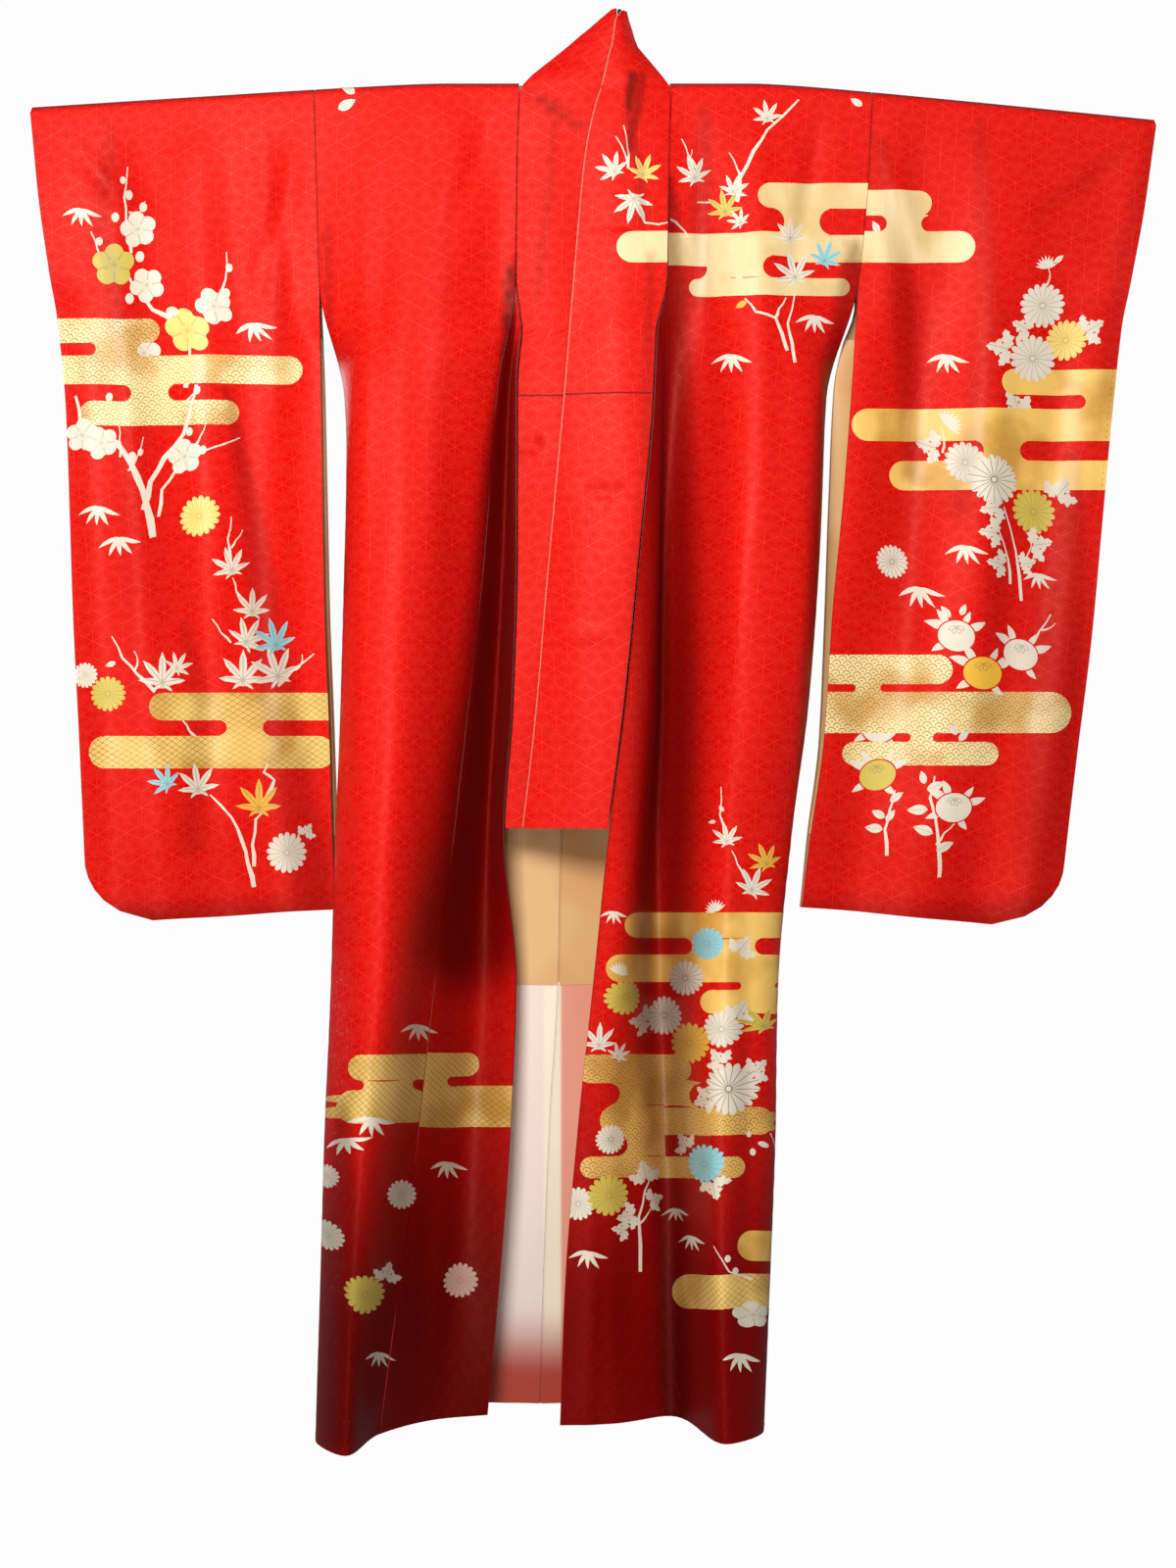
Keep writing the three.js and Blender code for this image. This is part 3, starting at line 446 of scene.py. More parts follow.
def neckSurface():
    rightX, rightY, leftX, leftY, bellyAt = tableCurves(backLift)
    foot = backLift[0][0]

    def surface(u, rise):
        up = np.maximum(foot, rise)
        arch = np.sin(math.pi * np.clip(u, 0, 1))
        below = np.maximum(0, foot - rise) / foot
        x = lerp(rightX(up), leftX(up), u)
        y = lerp(rightY(up), leftY(up), u) + (bellyAt(up) + below * 1.2) * arch
        drop = below * (foot + (cut["neckBackDrop"] + 8) * arch ** 0.8)
        return np.stack([x, y, -rodDepth + up - drop], -1)
    return surface


# Creases, in view units of 1.14 mm from the upper left of the front view
unit = 1.14
centreX, hookRow = 632, 14


def toView(points):
    return points[:, 0] / unit + centreX, hookRow - points[:, 2] / unit


# points along the crease, half width in units, height in mm (minus is a trough)
frontCreases = [
    ([(205, 118), (214, 300), (222, 560), (226, 900)], 26, 2.6),
    ([(120, 130), (132, 400), (150, 700)], 20, -2.0), ([(268, 110), (281, 260), (288, 470)], 14, -1.8),
    ([(325, 100), (300, 190), (262, 300)], 12, 1.6), ([(60, 130), (110, 190), (170, 230)], 11, -1.4),
    ([(300, 420), (308, 600), (312, 850)], 16, 1.8), ([(880, 100), (905, 180), (950, 290)], 12, 1.6),
    ([(1165, 140), (1110, 190), (1050, 230)], 11, -1.4), ([(930, 120), (935, 400), (925, 800)], 20, -2.2),
    ([(1010, 125), (1010, 420), (990, 850)], 22, 2.8), ([(1085, 300), (1066, 560), (1046, 860)], 17, -2.0),
    ([(360, 120), (372, 300), (388, 520), (400, 760), (410, 1000)], 15, 2.2),
    ([(450, 110), (452, 300), (448, 520), (440, 760)], 15, -1.6),
    ([(398, 95), (392, 150), (380, 220)], 9, 1.6),
    ([(420, 560), (428, 800), (424, 1050), (416, 1330)], 14, -2.2),
    ([(352, 1000), (358, 1200), (350, 1420)], 10, 1.6), ([(470, 1000), (455, 1200), (440, 1430)], 12, 1.8),
    ([(395, 1180), (391, 1300), (388, 1450)], 9, 1.7),
    ([(712, 120), (720, 300), (728, 560), (735, 800)], 15, -1.7),
    ([(770, 110), (776, 300), (770, 560)], 15, 2.0), ([(835, 110), (822, 200), (800, 300)], 10, -1.4),
    ([(705, 880), (716, 1080), (724, 1300), (728, 1450)], 12, 2.0),
    ([(755, 900), (758, 1120), (752, 1400)], 11, -1.8), ([(640, 960), (634, 1160), (640, 1440)], 13, -1.8),
    ([(600, 1150), (604, 1300), (600, 1450)], 9, 1.6), ([(545, 95), (562, 104), (585, 115)], 5, -1.6),
    ([(528, 469), (548, 460), (570, 447)], 4, -1.3), ([(600, 230), (640, 236), (680, 228)], 6, -0.8),
    ([(590, 500), (620, 508), (655, 496)], 6, -0.9), ([(560, 640), (600, 650), (640, 640)], 6, 0.7),
    ([(648, 48), (643, 71), (639, 97)], 4, -1.6),
]
backCreases = [
    ([(700, 120), (690, 400), (700, 800), (690, 1400)], 18, 2.4),
    ([(560, 120), (566, 500), (556, 1000)], 18, -2.2),
    ([(440, 110), (430, 420), (424, 900), (430, 1420)], 18, 2.2),
    ([(380, 110), (372, 600), (380, 1300)], 13, -1.6), ([(800, 110), (780, 420), (760, 900)], 14, -1.8),
    ([(500, 100), (486, 170), (452, 260)], 12, 1.4), ([(640, 500), (650, 900), (640, 1430)], 12, 1.6),
    ([(520, 700), (510, 1050), (516, 1440)], 12, -1.6), ([(740, 700), (730, 1000), (736, 1420)], 10, 1.5),
]


# Deep shade in the big folds: pieces, strength, then (x, y, half width) along the fold in view units
foldShades = [
    (("body", "overlap"), 1.0, [(522, 270, 6), (518, 380, 12), (512, 474, 22), (508, 600, 31),
                                (502, 700, 38), (492, 800, 47), (476, 960, 60)]),
    (("body", "overlap"), 0.55, [(480, 940, 56), (470, 1050, 66), (458, 1200, 78), (452, 1470, 80)]),
    (("body", "overlap"), 0.8, [(680, 180, 8), (684, 300, 22), (682, 474, 36), (680, 663, 42),
                                (676, 800, 44), (672, 960, 40), (676, 1100, 30), (684, 1250, 22), (690,
                                        1460, 18)]),
    (("body",), 0.62, [(872, 250, 8), (866, 310, 18), (846, 430, 16), (834, 600, 13), (820, 780, 9)]),
    (("body",), 0.35, [(334, 230, 5), (338, 420, 7), (350, 600, 6)]),
    (("body",), 0.5, [(350, 1130, 8), (350, 1250, 22), (346, 1460, 26)]),
    (("body",), 0.3, [(720, 110, 6), (716, 200, 12), (712, 300, 16)]),
    (("collar",), 0.34, [(664, 260, 5), (660, 480, 9), (650, 640, 11), (634, 850, 11)]),
    (("collar",), 0.9, [(640, 40, 3), (646, 74, 6), (640, 112, 4)]),
    (("collar",), 0.6, [(657, 70, 4), (650, 110, 7), (640, 156, 4)]),
    (("collar",), 0.5, [(538, 96, 3), (560, 108, 5), (590, 128, 3)]),
    (("collar",), 0.4, [(640, 120, 4), (652, 170, 6), (656, 230, 4)]),
    (("collar",), 0.25, [(566, 100, 4), (560, 200, 6), (548, 300, 5)]),
    (("sleeve",), 0.22, [(116, 130, 6), (102, 220, 12), (122, 330, 8)]),
    (("sleeve",), 0.42, [(232, 400, 6), (256, 520, 15), (272, 640, 22), (292, 760, 26), (318, 900, 26)]),
    (("sleeve",), 0.24, [(190, 640, 8), (206, 720, 14), (196, 860, 16)]),
    (("sleeve",), 0.62, [(96, 940, 22), (180, 952, 34), (350, 944, 34)]),
    (("sleeve",), 0.55, [(820, 944, 30), (960, 952, 34), (1090, 936, 26)]),
    (("sleeve",), 0.38, [(1096, 470, 10), (1086, 640, 30), (1072, 920, 32)]),
    (("sleeve",), 0.22, [(1176, 140, 8), (1150, 260, 16), (1130, 400, 12)]),
    (("sleeve",), 0.28, [(900, 150, 10), (924, 330, 16), (930, 480, 12)]),
    (("sleeve",), 0.22, [(1000, 130, 10), (1010, 330, 16), (980, 520, 14)]),
]


# how far points are from one leg of a stroke, and where along it
def fromStroke(px, py, start, end):
    ax, ay = start[:2]
    dx, dy = end[0] - ax, end[1] - ay
    t = np.clip(((px - ax) * dx + (py - ay) * dy) / (dx ** 2 + dy ** 2), 0, 1)
    return np.hypot(px - ax - t * dx, py - ay - t * dy), t


def strokeShade(kind, px, py):
    total = np.zeros(len(px))
    for kinds, strength, path in foldShades:
        if kind not in kinds:
            continue
        best = np.zeros(len(px))
        for start, end in zip(path, path[1:]):
            away, t = fromStroke(px, py, start, end)
            best = np.maximum(best, 1 - smooth(0.35, 1.3, away / lerp(start[2], end[2], t)))
        total = 1 - (1 - total) * (1 - strength * best)
    return total


def creaseHeight(creases, px, py):
    total = np.zeros(len(px))
    for path, width, height in creases:
        nearest = np.full(len(px), 1e9)
        share = np.zeros(len(px))
        count = len(path) - 1
        for k in range(count):
            away, t = fromStroke(px, py, path[k], path[k + 1])
            share = np.where(away < nearest, (k + t) / count, share)
            nearest = np.minimum(away, nearest)
        taper = np.sin(math.pi * np.clip(share * 0.94 + 0.03, 0, 1)) ** 0.6
        total += height * np.exp(-(nearest / width) ** 2) * taper
    return total


creaseScale, mostRelief = 2.6, 10


def relief(points, isBack):
    px, py = toView(points)
    ripple = 1.1 * np.sin(px / 21 + py / 61) * np.sin(py / 83 + 1.3) + 0.5 * np.sin(px / 9.5 - py / 140 + 0.6)
    return np.clip(creaseHeight(backCreases if isBack else frontCreases, px, py) * creaseScale + ripple,
                   -mostRelief, mostRelief)


# rows and columns of the grid that a patch is measured on
gridSize = (240, 41)


class Patch:
    # start(along) is where the patch's u = 0 edge lies across the cloth, measured from the overlap seam
    def __init__(self, surface, facing, low, high, start, direction=1, bothLayers=False, backOnly=False,
                 sewn=""):
        self.surface, self.facing, self.low, self.high = surface, facing, low, high
        self.start, self.direction = start, direction
        self.bothLayers, self.backOnly, self.sewn = bothLayers, backOnly, sewn
        rows, columns = gridSize
        self.alongs = np.linspace(low, high, rows)
        us = np.tile(np.linspace(0, 1, columns), rows)
        grid = surface(us, np.repeat(self.alongs, columns)).reshape(rows, columns, 3)
        self.widths = np.linalg.norm(np.diff(grid, axis=1), axis=2).sum(axis=1)
        self.grid = grid
        self.columns = columns

    def width(self, along):
        return np.interp(along, self.alongs, self.widths)

    def across(self, u, along, rowAlong=None):
        fromRow = along if rowAlong is None else rowAlong
        return self.start(fromRow) + self.direction * u * self.width(along)

    def share(self, across, along, rowAlong):
        return (across - self.start(rowAlong)) / (self.direction * self.width(along))

    def raised(self, u, along):
        points = self.surface(u, along)
        isBack = self.backOnly or (np.mean(along) > wrapLength and not self.bothLayers)
        nearRod = smooth(6, 70, np.maximum(-along, along - wrapLength)) if not self.backOnly else 1.0
        if self.bothLayers:
            lift = relief(points, False)
        else:
            lift = np.where(along > wrapLength / 2, -relief(points, True), relief(points, False))
            if isBack:
                lift = -relief(points, True)
        # sewn edges keep their line, so that neighbours still meet
        if self.sewn == "side":
            nearRod = nearRod * smooth(0, 0.16, 1 - u)
        if self.sewn == "armhole":
            free = smooth(cut["armhole"], cut["armhole"] + 150, downOf(along))
            nearRod = nearRod * smooth(0, 0.16, u + free)
        points = points.copy()
        points[:, 1] -= lift * nearRod
        return points

    def normals(self, u, along):
        du, dv = 0.004, 1.5
        across = self.raised(u + du, along) - self.raised(u - du, along)
        up = np.minimum(along + dv, self.high)
        low = np.maximum(along - dv, self.low)
        lengthways = self.raised(u, up) - self.raised(u, low)
        normal = np.cross(across, lengthways)
        normal /= np.maximum(np.linalg.norm(normal, axis=1), 1e-9)[:, None]
        return normal * self.facing


# How much painted shade each point gets, 0 to 1: from the fold shades, and a little in the troughs of the
# creases.
def foldShade(key, patch, points, along):
    px, py = project(points)
    onBack = np.full(len(px), patch.backOnly) | (along > wrapLength / 2)
    troughs = np.where(onBack, -creaseHeight(backCreases, px, py), -creaseHeight(frontCreases, px, py))
    soft = 0.3 * np.clip(troughs / 3, 0, 1)
    strokes = np.where(onBack, 0.0, strokeShade(key[0], px, py))
    return 1 - (1 - soft) * (1 - strokes)


def alongAt(down):
    return rodTop - down


bodyEnd = alongAt(cut["bodyLength"])
backEnd = wrapLength + cut["bodyLength"] - rodTop
sleeveEnd = alongAt(cut["sleeveLength"])
collarTips = dict(right=91, left=88)
patches = {}
for side, hand in hands.items():
    body = Patch(bodySurface(side), hand, bodyEnd, backEnd, lambda a: 0.0 * a, sewn="side")
    patches["body", side] = body
    overlap = Patch(overlapSurface(side), hand, bodyEnd, alongAt(cut["overlapTip"]), None)
    overlap.start = lambda a, patch=overlap: -patch.width(a)
    patches["overlap", side] = overlap
    patches["sleeve", side] = Patch(sleeveSurface(side), hand, sleeveEnd, wrapLength - sleeveEnd,
                                    lambda a, patch=body: patch.width(a), bothLayers=True, sewn="armhole")
    tip = collarTips[side]
    patches["collar", side] = Patch(
        collarSurface(side), -hand, alongAt(cut["collarEnd"]), tip,
        lambda a, patch=overlap: np.where(a < alongAt(cut["overlapStart"]), -patch.width(a),
                                          0.0), direction=-1)
patches["neck", "back"] = Patch(neckSurface(), -1, 0, 84, lambda a: 0.0 * a, backOnly=True)
print("surfaces ready")


# Figures dyed on the cloth, each an outline in units of its own radius
def turned(points, degrees):
    c, s = math.cos(math.radians(degrees)), math.sin(math.radians(degrees))
    return [(x * c - y * s, x * s + y * c) for x, y in points]


def petals(count, valley, tipRound, steps):
    outline = []
    for k in range(count * steps):
        angle = 2 * math.pi * k / (count * steps)
        wave = abs(math.cos(count * angle / 2)) ** tipRound
        radius = valley + (1 - valley) * wave
        outline.append((radius * math.sin(angle), radius * math.cos(angle)))
    return outline


def lance(length, width, lean=0.0, steps=7):
    right, left = [], []
    for k in range(1, steps):
        t = k / steps
        side = width * math.sin(math.pi * t ** 0.8) ** 0.9
        bend = lean * math.sin(math.pi * t)
        right.append((side + bend, length * t))
        left.append((-side + bend, length * t))
    return [(0, 0)] + right + [(0, length)] + left[::-1]


def mapleOutline():
    outline = [(-0.08, -0.2)]
    lobes = [(-132, 0.46), (-86, 0.78), (-42, 0.95), (0, 1.0), (42, 0.95), (86, 0.78), (132, 0.46)]
    for k, (angle, length) in enumerate(lobes):
        for offset, reach in ((-21, 0.3), (-14, 0.52 * length), (-8, 0.74 * length), (0, length),
                              (8, 0.74 * length),
                              (14, 0.52 * length)):
            if offset == -21 and k == 0:
                continue
            turn = math.radians(angle + offset)
            outline.append((reach * math.sin(turn), reach * math.cos(turn)))
    return outline + [(0.08, -0.2)]


def leafOutline(notches=3):
    right = []
    for k in range(1, 4 * notches):
        t = k / (4 * notches)
        side = 0.3 * math.sin(math.pi * t ** 0.85) * (1 - 0.34 * math.cos(2 * math.pi * notches * t))
        right.append((side, t))
    return [(0, 0)] + right + [(0, 1)] + [(-x, y) for x, y in right[::-1]]


def ring(rx, ry, cx=0.0, cy=0.0, count=26):
    return [(cx + rx * math.cos(2 * math.pi * k / count),
             cy + ry * math.sin(2 * math.pi * k / count)) for k in range(count)]


# A figure is a list of parts: outline, kind of drawing inside, own colour if it has one
def bambooParts():
    parts = []
    for angle, length in ((178, 0.82), (146, 0.92), (-150, 0.94), (110, 1.0), (-112, 0.98)):
        parts.append((turned(lance(length, 0.1, 0.05), angle), "plain"))
    return parts


def fruitParts():
    parts = []
    leaves = [(64, -0.45, 0.3, 0.95), (28, -0.34, 0.45, 0.85), (-70, 0.5, 0.3, 0.9), (-34, 0.3, 0.48, 0.7),
              (112, -0.4, -0.34, 0.8),
              (-138, 0.3, -0.4, 0.75)]
    for angle, x, y, size in leaves:
        parts.append(([(px * size + x, py * size + y) for px, py in turned(lance(1, 0.2, 0.06), angle)],
                      "leaf", "white"))
    parts.append((ring(0.86, 0.74), "plain", "ground"))
    parts.append((ring(0.8, 0.68), "fruit"))
    return parts


def sprayParts():
    parts = []
    for angle, x, y, size in ((4, 0, 0.1, 1.05), (66, -0.06, 0, 0.9), (-60, 0.06, 0.05, 0.95)):
        parts.append(([(px * size + x, py * size + y) for px, py in turned(leafOutline(), angle)], "leaf"))
    return parts


def sideMumParts():
    parts = []
    for k in range(9):
        angle = -72 + 18 * k
        parts.append((turned(lance(1.0 - 0.12 * abs(k - 4) / 4, 0.1), angle), "plain"))
    return parts


figures = {
    "mum": lambda: [(petals(17, 0.8, 0.7, 6), "mum")],
    "mumOutlined": lambda: [(petals(19, 0.8, 0.7, 6), "mumOutlined")],
    "plum": lambda: [(petals(5, 0.66, 0.55, 9), "plum")],
    "maple": lambda: [(mapleOutline(), "maple")],
    "bamboo": bambooParts,
    "tachibana": fruitParts,
    "leaves": sprayParts,
    "sideMum": sideMumParts,
    "bud": lambda: [(ring(0.5, 0.62), "plain")],
    "leaf": lambda: [(turned(lance(1.6, 0.4), 0), "leaf")],
}

# by piece: kind, x, y, radius (all in view units), then colour and turn in degrees where not white and 0
figureRows = {
    ("sleeve", "right"): [
        ("bamboo", 84, 213, 17), ("plum", 141, 234, 19, "white", 10), ("plum", 116, 270, 22, "olive"),
        ("plum", 150, 291, 18, "white", 30), ("plum", 219, 314, 19, "white", 15),
        ("plum", 192, 338, 23, "yellow"), ("bamboo", 259, 330, 18, "white", 10), ("bud", 125, 183, 6),
        ("bud", 131, 198, 8), ("bud", 146, 211, 8), ("bud", 117, 221, 8), ("bud", 101, 246, 7),
        ("bud", 143, 262, 9), ("bud", 132, 304, 9), ("bud", 176, 318, 10, "white", 90),
        ("bud", 234, 274, 7), ("bud", 231, 300, 8), ("bud", 111, 405, 7), ("bud", 202, 399, 7),
        ("bud", 134, 466, 9), ("bud", 143, 461, 6), ("bud", 194, 441, 7), ("bud", 208, 460, 7),
        ("plum", 84, 444, 17), ("plum", 103, 452, 17, "white", 25), ("plum", 189, 466, 18, "white", 12),
        ("bamboo", 102, 517, 18), ("bamboo", 122, 548, 18, "white", 10), ("mum", 204, 527, 21, "yellow"),
        ("maple", 237, 582, 19, "white", 20), ("maple", 257, 624, 19),
        ("maple", 251, 655, 21, "white", -30), ("maple", 282, 658, 22, "blue", 15),
        ("leaf", 118, 676, 7, "white", 110), ("mum", 87, 689, 13), ("mum", 110, 708, 18, "olive"),
        ("maple", 171, 800, 17, "blue", 40), ("maple", 203, 805, 21, "white", 8),
        ("maple", 264, 824, 23, "gold"), ("mum", 293, 870, 21), ("leaves", 311, 852, 10, "white", -35),
    ],
    ("body", "right"): [
        ("leaf", 345, 112, 13, "white", -60), ("leaf", 362, 96, 12, "white", 50),
        ("bamboo", 427, 1046, 16), ("bamboo", 380, 1140, 19), ("bamboo", 355, 1161, 16, "white", 10),
        ("mum", 409, 1219, 15), ("mum", 334, 1200, 12), ("mum", 334, 1260, 16),
        ("leaves", 392, 1306, 14, "white", -20), ("mum", 372, 1321, 20, "olive"),
        ("bamboo", 387, 1380, 14),
    ],
    ("overlap", "right"): [
        ("mum", 469, 1306, 18, "pink"), ("bamboo", 457, 1185, 16),
    ],
    ("collar", "left"): [
        ("maple", 627, 175, 17, "white", 35), ("maple", 656, 178, 17, "yellow", -20),
        ("maple", 647, 203, 20, "white", 165),
    ],
    ("body", "left"): [
        ("maple", 783, 121, 15, "white", 10), ("maple", 709, 181, 18, "white", 20),
        ("maple", 748, 196, 15, "white", -20), ("maple", 740, 216, 18, "olive", 10),
        ("maple", 756, 227, 12, "white", 40), ("maple", 806, 243, 16),
        ("maple", 841, 266, 17, "blue", -20), ("maple", 811, 283, 21, "white", 15),
        ("leaf", 762, 308, 8, "gold", 120), ("bamboo", 832, 322, 17), ("bamboo", 748, 362, 17),
        ("maple", 742, 858, 15, "white", 10), ("maple", 782, 881, 17, "gold", 20),
        ("maple", 767, 908, 19, "white", -20), ("leaf", 739, 828, 5, "white", 40),
        ("leaf", 731, 838, 5, "white", 100), ("sideMum", 731, 930, 13, "white", 20),
        ("leaves", 752, 972, 15, "white", -40), ("mum", 722, 963, 17, "blue"),
        ("mumOutlined", 700, 998, 18), ("leaves", 660, 1040, 15, "white", 75),
        ("mumOutlined", 678, 1036, 20), ("leaves", 750, 1040, 16, "white", -30), ("mum", 736, 1050, 19),
        ("mum", 704, 1064, 21, "gold"), ("maple", 779, 1047, 15, "olive", 30),
        ("leaves", 736, 1086, 14, "white", 30), ("leaves", 768, 1096, 15, "white", -50),
        ("leaves", 724, 1120, 14, "white", 110), ("mumOutlined", 743, 1111, 27),
        ("leaves", 702, 1172, 14, "white", 30), ("leaves", 727, 1204, 15, "white", 190),
        ("mum", 719, 1187, 20, "blue"), ("bamboo", 691, 1233, 12), ("bamboo", 707, 1261, 14),
        ("plum", 782, 1206, 14), ("bud", 764, 1158, 5), ("bud", 768, 1176, 6), ("bud", 779, 1168, 6),
        ("plum", 778, 1283, 13, "white", 20), ("plum", 768, 1342, 14, "white", 10), ("bud", 742, 1284, 6),
        ("bud", 750, 1297, 6), ("bamboo", 756, 1382, 18), ("leaf", 880, 108, 9, "white", 60),
    ],
    ("overlap", "left"): [
        ("bamboo", 627, 930, 12), ("sideMum", 631, 994, 14, "white", -20), ("mum", 638, 1018, 18, "olive"),
        ("maple", 611, 1066, 18), ("maple", 630, 1078, 12, "white", -30), ("mumOutlined", 623, 1163, 15),
        ("leaves", 659, 1205, 16, "white", 10), ("leaves", 648, 1240, 14, "white", 100),
        ("mum", 590, 1228, 17), ("mum", 621, 1220, 21, "olive"), ("leaves", 662, 1226, 12, "white", -70),
        ("leaves", 640, 1256, 12, "white", 80), ("bamboo", 601, 1276, 17),
    ],
    ("sleeve", "left"): [
        ("sideMum", 1068, 274, 14, "white", 10), ("leaf", 1076, 268, 7, "white", -50),
        ("leaves", 1050, 338, 15, "white", 60), ("mum", 1063, 312, 23),
        ("leaves", 1106, 340, 17, "white", -60), ("mum", 1088, 347, 21, "yellow"),
        ("leaves", 1030, 358, 18, "white", 75), ("mum", 1053, 366, 24), ("bamboo", 967, 362, 18),
        ("sideMum", 966, 434, 17, "white", -55), ("leaves", 958, 458, 17, "white", 70),
        ("mum", 985, 472, 21), ("leaves", 1020, 518, 16, "white", 95), ("mumOutlined", 1013, 490, 25),
        ("leaves", 1078, 508, 18, "white", -40), ("mum", 1054, 522, 23, "olive"),
        ("leaves", 1018, 545, 15, "white", 80), ("leaves", 1052, 556, 17, "white", -85),
        ("leaves", 1024, 577, 14, "white", 75), ("leaves", 1042, 576, 12, "white", -80),
        ("mumOutlined", 910, 573, 17), ("bamboo", 986, 557, 18), ("bamboo", 1061, 585, 15),
        ("bamboo", 940, 599, 20), ("leaf", 970, 630, 9, "white", 35), ("leaf", 980, 628, 8, "white", -30),
        ("leaf", 962, 636, 8, "white", 80), ("tachibana", 976, 649, 23),
        ("tachibana", 1041, 668, 23, "white", -10), ("tachibana", 1002, 687, 24, "orange"),
        ("tachibana", 895, 791, 23, "olive", 6), ("tachibana", 973, 824, 22, "white", -6),
        ("leaf", 978, 756, 9, "white", -40), ("leaf", 976, 750, 8, "white", 30),
        ("leaf", 901, 846, 12, "white", 84), ("leaf", 903, 834, 10, "white", 64),
        ("leaf", 908, 818, 10, "white", -52), ("leaf", 904, 838, 9, "white", -34),
        ("leaf", 952, 850, 13, "white", 72), ("leaf", 947, 826, 13, "white", 92),
        ("leaf", 946, 806, 12, "white", -66), ("leaf", 955, 868, 12, "white", -62),
        ("leaf", 944, 800, 9, "white", 20), ("leaf", 897, 238, 9, "white", 30),
    ],
}
# twigs and stems by piece: points in view units, half width at the root
twigRows = [
    (("sleeve", "right"), [
        ([(134, 258), (128, 224), (125, 200), (129, 170)], 1.8),
        ([(180, 328), (159, 315), (146, 291), (134, 258)], 3.0), ([(104, 268), (99, 254), (92, 236)], 1.5),
        ([(222, 306), (233, 286), (237, 258)], 1.6), ([(131, 216), (141, 218), (148, 205)], 1.0),
        ([(156, 548), (146, 514), (135, 488), (118, 460), (106, 448), (78, 432), (72, 408)], 4.2),
        ([(146, 520), (151, 492), (164, 469), (182, 446), (187, 416), (190, 396)], 3.6),
        ([(122, 466), (119, 448), (117, 434)], 1.4), ([(130, 480), (138, 466), (143, 446)], 1.4),
        ([(162, 527), (163, 500), (176, 480), (202, 460), (230, 443)], 2.0),
        ([(198, 458), (204, 446), (208, 432)], 1.3), ([(188, 412), (196, 404), (203, 395)], 1.4),
        ([(236, 578), (231, 551), (233, 528)], 1.5), ([(234, 562), (240, 552), (246, 541)], 1.2),
        ([(250, 618), (241, 604), (237, 590)], 1.6), ([(236, 656), (226, 646), (217, 632)], 1.3),
        ([(284, 700), (300, 684), (322, 668)], 1.8), ([(302, 684), (308, 678), (309, 668)], 1.2),
        ([(158, 706), (140, 688), (126, 672), (116, 650)], 2.0),
        ([(137, 684), (140, 674), (136, 664)], 1.2),
        ([(259, 905), (253, 882), (246, 856), (236, 834), (214, 812)], 2.6),
        ([(259, 884), (257, 862), (260, 836), (268, 826)], 2.2),
        ([(272, 812), (280, 796), (269, 788), (273, 778)], 2.2),
        ([(300, 862), (306, 850), (312, 842)], 1.2),
    ]),
    (("collar", "left"), [
        ([(641, 172), (638, 158), (628, 139)], 1.5), ([(641, 166), (640, 150), (636, 128)], 1.3),
        ([(651, 214), (658, 227), (672, 229), (684, 226)], 1.6),
    ]),
    (("body", "left"), [
        ([(752, 206), (755, 182), (769, 154), (783, 131), (816, 96)], 2.6),
        ([(755, 182), (752, 172), (744, 156)], 1.4), ([(712, 174), (702, 158), (695, 142)], 1.6),
        ([(708, 168), (704, 160), (706, 152)], 1.0), ([(738, 212), (725, 206), (711, 206)], 1.6),
        ([(684, 224), (692, 230), (702, 242)], 1.6),
        ([(803, 358), (790, 325), (769, 318), (758, 303)], 2.0),
        ([(790, 326), (794, 316), (802, 304)], 1.8), ([(811, 370), (803, 330), (810, 300)], 1.9),
        ([(740, 850), (735, 832), (736, 803)], 1.4), ([(760, 896), (752, 882), (745, 868)], 1.5),
    ]),
    (("overlap", "left"), [
        ([(653, 1298), (650, 1242), (656, 1216), (668, 1188)], 2.0),
        ([(651, 1250), (660, 1240), (666, 1228)], 1.3),
    ]),
    (("body", "left"), [
        ([(784, 1196), (770, 1176), (762, 1154)], 1.4), ([(768, 1306), (752, 1300), (738, 1280)], 1.4),
    ]),
    (("sleeve", "left"), [
        ([(1042, 613), (1041, 564), (1032, 520)], 2.0), ([(1030, 596), (1030, 570), (1022, 540)], 1.8),
        ([(1041, 578), (1050, 566), (1056, 552)], 1.3), ([(1052, 658), (1063, 644), (1076, 627)], 1.6),
        ([(1064, 643), (1072, 641), (1078, 636)], 1.1),
        ([(905, 873), (901, 846), (904, 826), (908, 806)], 2.0),
        ([(958, 895), (954, 852), (944, 814), (947, 792)], 2.2),
        ([(955, 862), (962, 850), (972, 840)], 1.5), ([(1064, 296), (1070, 284), (1068, 274)], 1.3),
        ([(962, 462), (966, 448), (964, 436)], 1.3),
    ]),
]
